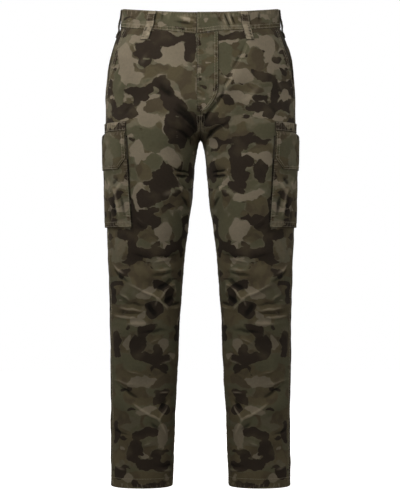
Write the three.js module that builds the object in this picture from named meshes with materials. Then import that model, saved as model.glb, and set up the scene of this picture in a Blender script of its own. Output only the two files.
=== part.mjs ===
import * as THREE from "three";

// Cargo pants, as worn, filled out and empty. All sizes are millimetres.
// X runs to the wearer's left, Y to the back and Z up; the waist's top edge at the sides is Z = 0.

// Cloth and seams
const CLOTH = 1.6;            // wall of one layer of twill
const HEM_CLOTH = 3.0;        // the turned-up hem, two layers
const SEAM_GAP = 0.3;         // clearance between pieces that are sewn together
const BAND_SEAM_GAP = 0.5;    // the same along the waistband, whose grid has other steps
const LYING_GAP = 0.6;        // clearance under a piece that lies on a panel

// Heights
const HEM_Z = -1046;
const HEM_DEPTH = 24;
const CROTCH_Z = -288;
const CROTCH_START_Z = -192;  // where the body begins to part into two legs
const PARTING_START = 1.35;   // above 1 keeps the start of that parting soft
const PARTING_END = 1.5;      // and so does this at the crotch
const SECTION_POWER = 2.2;    // 2 is an ellipse; a little more squares the section off

// The garment's outline. side: half width of the body; gap: half the space between the legs;
// front and back: how far the cloth reaches ahead of and behind the side seams' plane.
const OUTLINE = [
  { z: 0, side: 171, gap: 0, front: 90, back: 92 },
  { z: -41, side: 175, gap: 0, front: 94, back: 98 },
  { z: -62, side: 184, gap: 0, front: 96, back: 103 },
  { z: -85, side: 193, gap: 0, front: 98, back: 110 },
  { z: -120, side: 202, gap: 0, front: 101, back: 120 },
  { z: -160, side: 206.5, gap: 0, front: 103, back: 127 },
  { z: -205, side: 209, gap: 0, front: 103, back: 129 },
  { z: -245, side: 208.5, gap: 0, front: 102, back: 125 },
  { z: -288, side: 208, gap: 0, front: 100, back: 116 },
  { z: -293, side: 208, gap: 3.8, front: 99.8, back: 115 },
  { z: -303, side: 207.8, gap: 6.8, front: 99.5, back: 113 },
  { z: -331, side: 207.5, gap: 11, front: 98, back: 107 },
  { z: -366, side: 207, gap: 14.3, front: 96, back: 102 },
  { z: -419, side: 206.5, gap: 18.7, front: 92, back: 95 },
  { z: -472, side: 206, gap: 26.4, front: 86, back: 89 },
  { z: -542, side: 203.5, gap: 35.2, front: 80, back: 80 },
  { z: -595, side: 201.3, gap: 38.9, front: 76, back: 75 },
  { z: -683, side: 199.2, gap: 46, front: 69, back: 73 },
  { z: -760, side: 198.5, gap: 48.6, front: 65, back: 71 },
  { z: -860, side: 197.5, gap: 53.9, front: 61, back: 66 },
  { z: -950, side: 197.5, gap: 57.6, front: 59, back: 61 },
  { z: HEM_Z, side: 197, gap: 61.6, front: 57, back: 58 },
];

// The side seam's turn round the leg, in degrees forward of the outermost point
const SIDE_SEAM = [
  { z: 0, turn: 4 },
  { z: -90, turn: 7 },
  { z: -172, turn: 12 },
  { z: -500, turn: 15 },
  { z: HEM_Z, turn: 20 },
];

// The slash-pocket opening's edge, in the same degrees
const SLASH_END_Z = -174;
const SLASH = [
  { z: -30, turn: 23 },
  { z: -60, turn: 22.5 },
  { z: -95, turn: 22 },
  { z: -125, turn: 20.5 },
  { z: -155, turn: 16 },
  { z: SLASH_END_Z, turn: 12 },
];
const FACING_REACH = 5;       // degrees that the facing runs on behind the front leg
const FACING_DEPTH = 2.1;     // how far the facing's face lies under the leg's face

// Waistband
const FRONT_DIP = 19;         // the top edge dips this much at the centre front
const BACK_RISE = 5;          // and rises this much at the centre back
const DIP_CURVE = 1.5;
const DIP_END_Z = -170;       // rows below this are level
const BAND_REFERENCE_Z = -30; // the section whose turns place things along the band
const BAND_PROUD = 0.8;       // the band's face stands this far out of the legs' face
const BAND_CLOTH = 2.6;
const BAND_HEIGHT = [
  { x: -100, height: 41 },
  { x: -50, height: 43.5 },
  { x: -8, height: 46.5 },
  { x: 15, height: 43.6 },
  { x: 42, height: 40.5 },
  { x: 90, height: 41 },
];
const TAB_EDGE_X = -8;        // the overlap tab's free edge, just past the centre front
const TAB_ROOT_X = 38;
const TAB_PROUD = 1.6;        // extra thickness of the folded tab

// Fly placket
const PLACKET_TOP_GAP = 1;    // it stops just under the overlap tab
const PLACKET_WIDTH = 46;
const PLACKET_STRAIGHT_Z = -176;
const PLACKET_END_Z = -232;

// Belt loops: turn at the top and the bottom, in the degrees above, on the side given
const LOOP_WIDTH = 18.5;
const LOOP_CLOTH = 2.2;
const LOOPS = [
  { name: "belt_loop_front_right", side: -1, topTurn: 54.5, bottomTurn: 50.5 },
  { name: "belt_loop_front_left", side: 1, topTurn: 58.5, bottomTurn: 55 },
  { name: "belt_loop_side_right", side: -1, topTurn: -2, bottomTurn: -2 },
  { name: "belt_loop_side_left", side: 1, topTurn: -2, bottomTurn: -2 },
  { name: "belt_loop_back", side: 1, topTurn: -90, bottomTurn: -90 },
];
// A loop's path down the band: share of the way down, and standoff of its inner face
const LOOP_PATH = [
  { down: 0, standoff: 1.2 },
  { down: 0.07, standoff: 3.4 },
  { down: 0.22, standoff: 4.6 },
  { down: 0.6, standoff: 4.6 },
  { down: 0.8, standoff: 4.2 },
  { down: 0.9, standoff: 2.0 },
  { down: 0.94, standoff: 0.5 },
  { down: 1, standoff: 0.5 },
];
const LOOP_TOP_DROP = 1;
const LOOP_LENGTH = 62;

// Cargo pockets, centred on the side seams. across: distance from the seam along the cloth
const POCKET_HALF_WIDTH = 85;
const POCKET_TOP_Z = -284;
const POCKET_BOTTOM_Z = -480;
const POCKET_BULGE = 0.9;
const GUSSET_WIDTH = 9;
const GUSSET_CLOTH = 2.1;
const POCKET_STANDOFF = LYING_GAP + GUSSET_CLOTH + SEAM_GAP;
const FLAP_TOP_Z = -273;
const FLAP_BOTTOM_Z = -355;
const FLAP_EDGE = [
  { z: FLAP_TOP_Z, across: 84 },
  { z: -330, across: 78 },
  { z: FLAP_BOTTOM_Z, across: 60 },
];
const FLAP_ROLL = 8;          // height over which the flap rises from its seam onto the pouch
const FLAP_DROPS = [0, 3, FLAP_ROLL, 20, 38, 57, 70, 82];
const FLAP_AIR = 0.5;
const BAND_TOP_Z = -253;
const BAND_BOTTOM_Z = FLAP_TOP_Z + SEAM_GAP;
const POCKET_MASK_MARGIN = 14;

// The largest folds. Turns are degrees round the leg: 0 outermost, 90 front, 180 inner, -90 back.
// height is positive for a ridge and negative for a trough; side is 1 left, -1 right, 0 both.
const FOLDS = [
  // A drag line from the left hip down across the fly's foot to the crotch, hollow below it
  { side: 1, turn: 57, z: -85, endTurn: 77, endZ: -199, width: 12, height: 4 },
  { side: 1, turn: 77, z: -199, endTurn: 126, endZ: -252, width: 12, height: 4.4 },
  { side: 1, turn: 66, z: -178, endTurn: 94, endZ: -250, width: 16, height: -3.6 },
  // Shorter drag lines at the right of the crotch, and across both hips
  { side: -1, turn: 84, z: -196, endTurn: 120, endZ: -262, width: 16, height: -3.6 },
  { side: -1, turn: 76, z: -216, endTurn: 112, endZ: -280, width: 14, height: 3 },
  { side: 0, turn: 96, z: -310, endTurn: 146, endZ: -298, width: 18, height: -3 },
  { side: 0, turn: 34, z: -190, endTurn: 68, endZ: -216, width: 20, height: -2.6 },
  // Pinched tucks on the inner thigh, and the ridge that falls from them to the inseam
  { side: 0, turn: 125, z: -364, endTurn: 150, endZ: -364, width: 14, height: -4 },
  { side: 0, turn: 127, z: -376, endTurn: 166, endZ: -443, width: 16, height: 3.4 },
  // Thigh drag, and the arc over the knee with its swell below
  { side: 0, turn: 66, z: -494, endTurn: 112, endZ: -508, width: 20, height: -3 },
  { side: 0, turn: 62, z: -548, endTurn: 104, endZ: -555, width: 11, height: -4 },
  { side: 0, turn: 104, z: -555, endTurn: 153, endZ: -544, width: 11, height: -3.6 },
  { side: 0, turn: 60, z: -576, endTurn: 126, endZ: -580, width: 15, height: 3.4 },
  // The star of creases under the knee
  { side: 0, turn: 41, z: -572, endTurn: 107, endZ: -630, width: 11, height: 4 },
  { side: 0, turn: 107, z: -630, endTurn: 141, endZ: -593, width: 11, height: 3.8 },
  { side: 0, turn: 107, z: -630, endTurn: 129, endZ: -658, width: 11, height: 3.4 },
  { side: 0, turn: 88, z: -608, endTurn: 124, endZ: -606, width: 12, height: -3.4 },
  { side: 0, turn: 24, z: -628, endTurn: 78, endZ: -648, width: 12, height: -3.6 },
  { side: 0, turn: 22, z: -664, endTurn: 84, endZ: -676, width: 13, height: -3.2 },
  { side: 0, turn: 50, z: -726, endTurn: 116, endZ: -738, width: 22, height: -3 },
  // The shin, with the knee's star again lower down
  { side: 0, turn: 64, z: -800, endTurn: 120, endZ: -796, width: 22, height: -2.6 },
  { side: 0, turn: 44, z: -846, endTurn: 118, endZ: -896, width: 18, height: 3.4 },
  { side: 0, turn: 118, z: -896, endTurn: 148, endZ: -862, width: 18, height: 3.2 },
  { side: 0, turn: 24, z: -886, endTurn: 74, endZ: -910, width: 20, height: -3 },
  { side: 0, turn: 44, z: -956, endTurn: 108, endZ: -970, width: 22, height: -3 },
  // The seat and the back of the thigh
  { side: 1, turn: -104, z: -244, endTurn: -60, endZ: -266, width: 18, height: -4 },
  { side: -1, turn: -100, z: -236, endTurn: -58, endZ: -262, width: 18, height: -4.2 },
  { side: 0, turn: -152, z: -314, endTurn: -100, endZ: -330, width: 18, height: -4.2 },
  { side: 1, turn: -158, z: -348, endTurn: -110, endZ: -384, width: 20, height: -3.4 },
  { side: -1, turn: -156, z: -356, endTurn: -112, endZ: -398, width: 20, height: -3.4 },
  // The hollow of the knee and the calf
  { side: 0, turn: -148, z: -544, endTurn: -62, endZ: -558, width: 12, height: -4.4 },
  { side: 0, turn: -150, z: -568, endTurn: -70, endZ: -580, width: 12, height: 3.6 },
  { side: 0, turn: -142, z: -598, endTurn: -58, endZ: -602, width: 12, height: -4.4 },
  { side: 0, turn: -136, z: -622, endTurn: -66, endZ: -620, width: 12, height: 3 },
  { side: 1, turn: -128, z: -640, endTurn: -46, endZ: -656, width: 13, height: -3.8 },
  { side: -1, turn: -132, z: -644, endTurn: -50, endZ: -650, width: 13, height: -3.8 },
  { side: 0, turn: -120, z: -716, endTurn: -60, endZ: -738, width: 22, height: -3.2 },
  { side: 0, turn: -124, z: -846, endTurn: -56, endZ: -860, width: 22, height: -3 },
  { side: 1, turn: -130, z: -944, endTurn: -60, endZ: -962, width: 20, height: -3.4 },
  { side: -1, turn: -126, z: -936, endTurn: -64, endZ: -956, width: 20, height: -3.4 },
];

// Grid steps of the legs
const LEG_COLUMNS = 15;
const WAIST_STEPS = 7;
const CROTCH_STEPS = 7;
const UNDER_CROTCH_Z = [CROTCH_Z, CROTCH_Z - 5, CROTCH_Z - 15];
// Rows stand closer over the knee, where the folds are
const LEG_STRETCHES = [
  { endZ: -530, steps: 7 },
  { endZ: -690, steps: 11 },
  { endZ: HEM_Z + HEM_DEPTH, steps: 9 },
];

const DEGREE = Math.PI / 180;

// A smooth curve through a table's rows, without overshoot
function along(table, key, value, at) {
  const sign = table[0][key] > table[table.length - 1][key] ? -1 : 1;
  const place = at * sign;
  const x = (i) => table[i][key] * sign;
  const y = (i) => table[i][value];
  const last = table.length - 1;
  if (place <= x(0)) {
    return y(0);
  }
  if (place >= x(last)) {
    return y(last);
  }
  let i = 0;
  while (place > x(i + 1)) {
    i += 1;
  }
  const slope = (k) => (y(k + 1) - y(k)) / (x(k + 1) - x(k));
  const tangent = (k) => {
    if (k === 0 || k === last) {
      return slope(Math.min(k, last - 1));
    }
    const before = slope(k - 1);
    const after = slope(k);
    return before * after <= 0 ? 0 : (2 * before * after) / (before + after);
  };
  const span = x(i + 1) - x(i);
  const t = (place - x(i)) / span;
  const start = y(i) * (2 * t ** 3 - 3 * t ** 2 + 1) + y(i + 1) * (3 * t ** 2 - 2 * t ** 3);
  return start + span * (tangent(i) * (t ** 3 - 2 * t ** 2 + t) + tangent(i + 1) * (t ** 3 - t ** 2));
}

function straight(table, key, value, at) {
  let i = 0;
  while (i < table.length - 2 && (at - table[i + 1][key]) * (table[1][key] - table[0][key]) > 0) {
    i += 1;
  }
  const span = table[i + 1][key] - table[i][key];
  const t = THREE.MathUtils.clamp((at - table[i][key]) / span, 0, 1);
  return table[i][value] + t * (table[i + 1][value] - table[i][value]);
}

// One leg's section at a height: its centre, its half sizes and where it meets the centre plane
function section(z) {
  const side = along(OUTLINE, "z", "side", z);
  const gap = along(OUTLINE, "z", "gap", z);
  const fall = THREE.MathUtils.clamp((CROTCH_START_Z - z) / (CROTCH_START_Z - CROTCH_Z), 0, 1);
  const parting = Math.max(1 - (1 - fall ** PARTING_START) ** PARTING_END, 1e-6);
  const halfWidth = parting < 1 ? side / (1 + parting) : (side - gap) / 2;
  const innerTurn = Math.PI - Math.atan((parting ** -SECTION_POWER - 1) ** (1 / SECTION_POWER));
  return {
    centre: side - halfWidth,
    halfWidth,
    front: along(OUTLINE, "z", "front", z),
    back: along(OUTLINE, "z", "back", z),
    innerTurn: parting < 1 ? innerTurn : Math.PI,
    joined: parting < 1,
  };
}

// A point of the leg's base surface, before folds. Turns are radians, positive to the front.
function basePoint(turn, z) {
  const s = section(z);
  const c = Math.cos(turn);
  const d = Math.sin(turn);
  const radius = (Math.abs(c) ** SECTION_POWER + Math.abs(d) ** SECTION_POWER) ** (-1 / SECTION_POWER);
  const depth = d > 0 ? s.front : s.back;
  return new THREE.Vector3(s.centre + s.halfWidth * radius * c, -depth * radius * d, z);
}

function localRadius(z) {
  const s = section(z);
  return (s.halfWidth + (s.front + s.back) / 2) / 2;
}

function sideSeam(z) {
  return along(SIDE_SEAM, "z", "turn", z) * DEGREE;
}

// 1 well inside the ground that pockets, placket and loops lie on, 0 away from it
function coveredShare(turn, z) {
  const across = Math.abs((turn - sideSeam(z)) * localRadius(z)) - POCKET_HALF_WIDTH;
  const tall = Math.max(z - BAND_TOP_Z, POCKET_BOTTOM_Z - z);
  const pocket = 1 - THREE.MathUtils.smoothstep(Math.max(across, tall), 0, POCKET_MASK_MARGIN);
  const x = Math.abs(basePoint(turn, z).x);
  const fly = turn > 0 ? 1 - THREE.MathUtils.smoothstep(Math.max(x - 40, -236 - z), 0, 14) : 0;
  const waist = THREE.MathUtils.smoothstep(z, -84, -70);
  const hem = 1 - THREE.MathUtils.smoothstep(z, HEM_Z + 4, HEM_Z + HEM_DEPTH + 12);
  return Math.max(pocket, fly, waist, hem);
}

function foldHeight(side, turn, z) {
  const radius = localRadius(z);
  let height = 0;
  for (const fold of FOLDS) {
    if (fold.side !== 0 && fold.side !== side) {
      continue;
    }
    const u = (turn - fold.turn * DEGREE) * radius;
    const v = z - fold.z;
    const runU = (fold.endTurn - fold.turn) * DEGREE * radius;
    const runV = fold.endZ - fold.z;
    const length2 = runU ** 2 + runV ** 2;
    const share = THREE.MathUtils.clamp((u * runU + v * runV) / length2, 0, 1);
    const away2 = (u - share * runU) ** 2 + (v - share * runV) ** 2;
    const taper = 0.35 + 0.65 * Math.sin(Math.PI * THREE.MathUtils.clamp(share, 0.03, 0.97));
    height += fold.height * taper * Math.exp(-away2 / fold.width ** 2);
  }
  return height * (1 - coveredShare(turn, z));
}

// A point on the right or left leg, with its folds, moved out by a standoff along the surface's normal
function clothPoint(side, turn, z, standoff) {
  const step = 0.01;
  const lift = 1;
  const here = basePoint(turn, z);
  const round = basePoint(turn + step, z).sub(basePoint(turn - step, z));
  const up = basePoint(turn, z + lift).sub(basePoint(turn, z - lift));
  const normal = round.cross(up);
  normal.normalize();
  if (normal.dot(new THREE.Vector3(Math.cos(turn), -Math.sin(turn), 0)) < 0) {
    normal.negate();
  }
  here.addScaledVector(normal, standoff + foldHeight(side, turn, z));
  here.x = Math.max(here.x, SEAM_GAP / 2) * side;
  return here;
}

// A closed wall over a grid: point(row, column, layer) with layer 0 its face and 1 its back
function wall(name, rows, columns, point, material) {
  const positions = [];
  const index = (row, column, layer) => (layer * rows + row) * columns + column;
  for (let layer = 0; layer < 2; layer += 1) {
    for (let row = 0; row < rows; row += 1) {
      for (let column = 0; column < columns; column += 1) {
        positions.push(point(row, column, layer));
      }
    }
  }
  const triangles = [];
  const quad = (a, b, c, d) => {
    if (positions[a].distanceTo(positions[c]) < positions[b].distanceTo(positions[d])) {
      triangles.push(a, b, c, a, c, d);
    } else {
      triangles.push(a, b, d, b, c, d);
    }
  };
  for (let row = 0; row < rows - 1; row += 1) {
    for (let column = 0; column < columns - 1; column += 1) {
      const [low, high] = [row + 1, column + 1];
      quad(index(row, column, 0), index(low, column, 0), index(low, high, 0), index(row, high, 0));
      quad(index(row, column, 1), index(row, high, 1), index(low, high, 1), index(low, column, 1));
    }
    const last = columns - 1;
    quad(index(row, 0, 0), index(row, 0, 1), index(row + 1, 0, 1), index(row + 1, 0, 0));
    quad(index(row, last, 1), index(row, last, 0), index(row + 1, last, 0), index(row + 1, last, 1));
  }
  for (let column = 0; column < columns - 1; column += 1) {
    const last = rows - 1;
    quad(index(0, column, 1), index(0, column, 0), index(0, column + 1, 0), index(0, column + 1, 1));
    quad(index(last, column, 0), index(last, column, 1), index(last, column + 1, 1), index(last, column + 1, 0));
  }
  let volume = 0;
  for (let t = 0; t < triangles.length; t += 3) {
    const [a, b, c] = [0, 1, 2].map((k) => positions[triangles[t + k]]);
    volume += a.dot(b.clone().cross(c)) / 6;
  }
  if (volume < 0) {
    triangles.reverse();
  }
  const geometry = new THREE.BufferGeometry();
  geometry.setAttribute("position", new THREE.Float32BufferAttribute(positions.flatMap((p) => p.toArray()), 3));
  geometry.setIndex(triangles);
  geometry.computeVertexNormals();
  const mesh = new THREE.Mesh(geometry, material);
  mesh.name = name;
  return mesh;
}

function twill(color) {
  return new THREE.MeshStandardMaterial({ color, roughness: 0.92, metalness: 0 });
}

const sideName = (side) => (side > 0 ? "left" : "right");
const pants = new THREE.Group();

// Waistband: its top edge dips at the front, and its lower edge sags towards the overlap tab
function bandTop(turn) {
  const share = Math.abs(Math.sin(turn)) ** DIP_CURVE;
  return turn > 0 ? -FRONT_DIP * share : BACK_RISE * share;
}

function bandX(side, turn) {
  return basePoint(turn, BAND_REFERENCE_Z).x * side;
}

function bandBottom(side, turn) {
  const height = turn > 0 ? along(BAND_HEIGHT, "x", "height", bandX(side, turn)) : BAND_HEIGHT[0].height;
  return bandTop(turn) - height;
}

// The turn at which the band stands at a given distance from the centre plane, at the front
function turnAtX(x, z) {
  let low = 0;
  let high = section(z).innerTurn;
  for (let i = 0; i < 40; i += 1) {
    const middle = (low + high) / 2;
    if (basePoint(middle, z).x > x) {
      low = middle;
    } else {
      high = middle;
    }
  }
  return (low + high) / 2;
}

// The band's grid runs from the centre back round one side to the front edge, which for the left
// half lies across the centre plane
const BAND_COLUMNS = 37;
const BAND_ROWS = 3;

function bandPoint(side, turn, z, standoff) {
  const beyond = turn - Math.PI / 2;
  if (beyond <= 0) {
    return clothPoint(side, turn, z, standoff);
  }
  const mirrored = clothPoint(-side, Math.PI / 2 - beyond, z, standoff);
  return mirrored;
}

function makeBand(side) {
  const edge = turnAtX(Math.abs(TAB_EDGE_X), BAND_REFERENCE_Z);
  const pastCentre = side > 0 ? Math.PI - edge : edge;
  const gapTurn = SEAM_GAP / (2 * section(BAND_REFERENCE_Z).halfWidth);
  const startTurn = -Math.PI / 2;
  const endTurn = pastCentre - gapTurn;
  const tabRoot = turnAtX(TAB_ROOT_X, BAND_REFERENCE_Z);
  return wall(`waistband_${sideName(side)}`, BAND_ROWS, BAND_COLUMNS, (row, column, layer) => {
    const turn = startTurn + ((endTurn - startTurn) * column) / (BAND_COLUMNS - 1);
    const folded = turn > Math.PI / 2 ? Math.PI - turn : turn;
    const heightSide = turn > Math.PI / 2 ? -side : side;
    const top = bandTop(folded);
    const z = top + ((bandBottom(heightSide, folded) - top) * row) / (BAND_ROWS - 1);
    const tab = side > 0 ? THREE.MathUtils.smoothstep(turn, tabRoot - 0.03, tabRoot + 0.03) : 0;
    const face = BAND_PROUD + TAB_PROUD * tab;
    return bandPoint(side, turn, z, layer === 0 ? face : face - BAND_CLOTH);
  }, twill(0x7a745f));
}

for (const side of [-1, 1]) {
  pants.add(makeBand(side));
}

// Legs: rows follow the waistband's lower edge at the top and grow level further down
function levelRow(side, turn, startZ) {
  const settle = THREE.MathUtils.smoothstep(startZ, DIP_END_Z, -BAND_HEIGHT[0].height);
  const bandEdge = bandBottom(side, Math.min(turn, Math.PI / 2)) - BAND_SEAM_GAP;
  return startZ + (bandEdge + BAND_HEIGHT[0].height) * settle;
}

function legHeights() {
  const heights = [];
  const top = -BAND_HEIGHT[0].height;
  for (let i = 0; i < WAIST_STEPS; i += 1) {
    heights.push(top + ((CROTCH_START_Z - top) * i) / WAIST_STEPS);
  }
  for (let i = 0; i < CROTCH_STEPS; i += 1) {
    const share = Math.sin((Math.PI / 2) * (i / CROTCH_STEPS));
    heights.push(CROTCH_START_Z + (CROTCH_Z - CROTCH_START_Z) * share);
  }
  heights.push(...UNDER_CROTCH_Z);
  for (const { endZ, steps } of LEG_STRETCHES) {
    const start = heights[heights.length - 1];
    for (let i = 1; i <= steps; i += 1) {
      heights.push(THREE.MathUtils.lerp(start, endZ, i / steps));
    }
  }
  heights.push(HEM_Z + HEM_DEPTH - 1, HEM_Z);
  return heights;
}

const LEG_HEIGHTS = legHeights();

function legCloth(z) {
  return z < HEM_Z + HEM_DEPTH - 0.5 ? HEM_CLOTH : CLOTH;
}

function makeLeg(side, isFront) {
  const rows = LEG_HEIGHTS.length;
  return wall(`${isFront ? "front" : "back"}_${sideName(side)}`, rows, LEG_COLUMNS, (row, column, layer) => {
    const level = LEG_HEIGHTS[row];
    const s = section(level);
    const gapTurn = SEAM_GAP / 2 / s.front;
    const slash = level > SLASH_END_Z ? along(SLASH, "z", "turn", level) * DEGREE : sideSeam(level);
    const outer = isFront ? slash + gapTurn : sideSeam(level) - gapTurn;
    const inner = isFront ? s.innerTurn - (s.joined ? 0 : gapTurn) : -s.innerTurn + (s.joined ? 0 : gapTurn);
    const turn = outer + ((inner - outer) * column) / (LEG_COLUMNS - 1);
    const z = levelRow(side, turn, level);
    return clothPoint(side, turn, z, layer === 0 ? 0 : -legCloth(level));
  }, twill(isFront ? 0x6d6650 : 0x675f4b));
}

for (const side of [-1, 1]) {
  pants.add(makeLeg(side, true));
  pants.add(makeLeg(side, false));
}

// Pocket facings: seen through the slash opening, under the front leg's edge
const FACING_ROWS = 8;
const FACING_COLUMNS = 4;

function makeFacing(side) {
  const top = -BAND_HEIGHT[0].height;
  return wall(`pocket_facing_${sideName(side)}`, FACING_ROWS, FACING_COLUMNS, (row, column, layer) => {
    const level = top + ((SLASH_END_Z - 6 - top) * row) / (FACING_ROWS - 1);
    const outer = sideSeam(level);
    const inner = along(SLASH, "z", "turn", level) * DEGREE + FACING_REACH * DEGREE;
    const turn = outer + ((inner - outer) * column) / (FACING_COLUMNS - 1);
    const z = levelRow(side, turn, level);
    return clothPoint(side, turn, z, -FACING_DEPTH - (layer === 0 ? 0 : CLOTH));
  }, twill(0x5d5643));
}

for (const side of [-1, 1]) {
  pants.add(makeFacing(side));
}

// Fly placket: a strip on the wearer's left with a straight fold at the centre front and a
// J-shaped outer seam that curves in to meet it
const PLACKET_ROWS = 16;
const PLACKET_COLUMNS = 6;

function placketWidth(z) {
  if (z > PLACKET_STRAIGHT_Z) {
    return PLACKET_WIDTH;
  }
  const share = (PLACKET_STRAIGHT_Z - z) / (PLACKET_STRAIGHT_Z - PLACKET_END_Z);
  return PLACKET_WIDTH * Math.sqrt(Math.max(1 - share ** 2, 0.04));
}

function frontPointAtX(x, z, standoff) {
  const side = x < 0 ? -1 : 1;
  const place = clothPoint(side, turnAtX(Math.abs(x), z), z, standoff);
  place.x = x;
  return place;
}

pants.add(wall("fly_placket", PLACKET_ROWS, PLACKET_COLUMNS, (row, column, layer) => {
  const share = column / (PLACKET_COLUMNS - 1);
  const down = Math.sin((Math.PI / 2) * (row / (PLACKET_ROWS - 1)));
  const level = -BAND_HEIGHT[0].height + (PLACKET_END_Z + BAND_HEIGHT[0].height) * down;
  const x = TAB_EDGE_X + placketWidth(level) * share;
  const side = x < 0 ? -1 : 1;
  const settle = THREE.MathUtils.smoothstep(level, DIP_END_Z, -BAND_HEIGHT[0].height);
  const edge = bandBottom(side, turnAtX(Math.abs(x), BAND_REFERENCE_Z)) - PLACKET_TOP_GAP;
  const z = level + (edge + BAND_HEIGHT[0].height) * settle;
  return frontPointAtX(x, z, LYING_GAP + (layer === 0 ? CLOTH : 0));
}, twill(0x736b56)));

// Belt loops: a folded strip, sewn at both ends and standing off the band for a belt between
const LOOP_COLUMNS = 3;

function makeLoop(loop) {
  const top = bandTop(loop.topTurn * DEGREE) - LOOP_TOP_DROP;
  return wall(loop.name, LOOP_PATH.length, LOOP_COLUMNS, (row, column, layer) => {
    const { down, standoff } = LOOP_PATH[row];
    const centreTurn = THREE.MathUtils.lerp(loop.topTurn, loop.bottomTurn, down) * DEGREE;
    const z = top - LOOP_LENGTH * down;
    const offset = LOOP_WIDTH * (column / (LOOP_COLUMNS - 1) - 0.5);
    const turn = centreTurn + offset / arcRate(centreTurn, z);
    const out = standoff + (layer === 0 ? LOOP_CLOTH : 0);
    if (Math.abs(turn) <= Math.PI / 2) {
      return clothPoint(loop.side, turn, z, out);
    }
    const mirrored = (Math.PI - Math.abs(turn)) * Math.sign(turn);
    return clothPoint(-loop.side, mirrored, z, out);
  }, twill(0x857d67));
}

// Millimetres of cloth for each radian of turn
function arcRate(turn, z) {
  const step = 0.01;
  return basePoint(turn + step, z).distanceTo(basePoint(turn - step, z)) / (2 * step);
}

for (const loop of LOOPS) {
  pants.add(makeLoop(loop));
}

// Cargo pockets
function pocketTurn(across, z) {
  return sideSeam(z) + across / localRadius(z);
}

function onPocketGround(side, across, z, standoff) {
  return clothPoint(side, pocketTurn(across, z), z, standoff);
}

const POCKET_ROWS = 9;
const POCKET_COLUMNS = 15;

// How far the pouch's inner face stands off the leg: least at its sewn edges
function pouchStandoff(across, z) {
  const wide = Math.cos((Math.PI / 2) * (across / POCKET_HALF_WIDTH));
  const tall = THREE.MathUtils.smoothstep(z, POCKET_BOTTOM_Z, POCKET_BOTTOM_Z + 60);
  return POCKET_STANDOFF + POCKET_BULGE * Math.sqrt(Math.max(wide, 0)) * tall;
}

function makePouch(side) {
  return wall(`cargo_pocket_${sideName(side)}`, POCKET_ROWS, POCKET_COLUMNS, (row, column, layer) => {
    const z = POCKET_TOP_Z + ((POCKET_BOTTOM_Z - POCKET_TOP_Z) * row) / (POCKET_ROWS - 1);
    const across = POCKET_HALF_WIDTH * ((2 * column) / (POCKET_COLUMNS - 1) - 1);
    return onPocketGround(side, across, z, pouchStandoff(across, z) + (layer === 0 ? CLOTH : 0));
  }, twill(0x635b47));
}

// The gusset is one strip that runs down the back edge, along the bottom and up the front edge
const GUSSET_SIDE_STEPS = 8;
const GUSSET_BOTTOM_STEPS = 14;

function gussetPath(step) {
  const inset = GUSSET_WIDTH;
  const reach = POCKET_HALF_WIDTH;
  const bottomEnd = GUSSET_SIDE_STEPS + GUSSET_BOTTOM_STEPS;
  if (step <= GUSSET_SIDE_STEPS) {
    const share = step / GUSSET_SIDE_STEPS;
    return {
      outer: [-reach, POCKET_TOP_Z + (POCKET_BOTTOM_Z - POCKET_TOP_Z) * share],
      inner: [-reach + inset, POCKET_TOP_Z + (POCKET_BOTTOM_Z + inset - POCKET_TOP_Z) * share],
    };
  }
  if (step < bottomEnd) {
    const share = (step - GUSSET_SIDE_STEPS) / GUSSET_BOTTOM_STEPS;
    return {
      outer: [THREE.MathUtils.lerp(-reach, reach, share), POCKET_BOTTOM_Z],
      inner: [THREE.MathUtils.lerp(-reach + inset, reach - inset, share), POCKET_BOTTOM_Z + inset],
    };
  }
  const mirror = gussetPath(bottomEnd + GUSSET_SIDE_STEPS - step);
  return {
    outer: [-mirror.outer[0], mirror.outer[1]],
    inner: [-mirror.inner[0], mirror.inner[1]],
  };
}

function makeGusset(side) {
  const steps = GUSSET_BOTTOM_STEPS + 2 * GUSSET_SIDE_STEPS + 1;
  return wall(`cargo_gusset_${sideName(side)}`, steps, 2, (row, column, layer) => {
    const place = gussetPath(row);
    const [across, z] = column === 0 ? place.outer : place.inner;
    return onPocketGround(side, across, z, LYING_GAP + (layer === 0 ? GUSSET_CLOTH : 0));
  }, twill(0x4d4636));
}

function makeFlap(side) {
  return wall(`cargo_flap_${sideName(side)}`, FLAP_DROPS.length, POCKET_COLUMNS, (row, column, layer) => {
    const z = FLAP_TOP_Z - FLAP_DROPS[row];
    const reach = straight(FLAP_EDGE, "z", "across", z);
    const across = reach * ((2 * column) / (POCKET_COLUMNS - 1) - 1);
    const roll = THREE.MathUtils.smoothstep(FLAP_TOP_Z - z, 0, FLAP_ROLL);
    const onPouch = pouchStandoff(across, z) + CLOTH + FLAP_AIR;
    const standoff = THREE.MathUtils.lerp(LYING_GAP, onPouch, roll);
    return onPocketGround(side, across, z, standoff + (layer === 0 ? CLOTH : 0));
  }, twill(0x6f6752));
}

function makePocketBand(side) {
  return wall(`cargo_flap_band_${sideName(side)}`, 3, POCKET_COLUMNS, (row, column, layer) => {
    const z = BAND_TOP_Z + ((BAND_BOTTOM_Z - BAND_TOP_Z) * row) / 2;
    const across = POCKET_HALF_WIDTH * ((2 * column) / (POCKET_COLUMNS - 1) - 1);
    return onPocketGround(side, across, z, LYING_GAP + (layer === 0 ? CLOTH : 0));
  }, twill(0x7b735d));
}

for (const side of [-1, 1]) {
  pants.add(makePouch(side));
  pants.add(makeGusset(side));
  pants.add(makeFlap(side));
  pants.add(makePocketBand(side));
}

export default pants;
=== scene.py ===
import math

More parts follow.
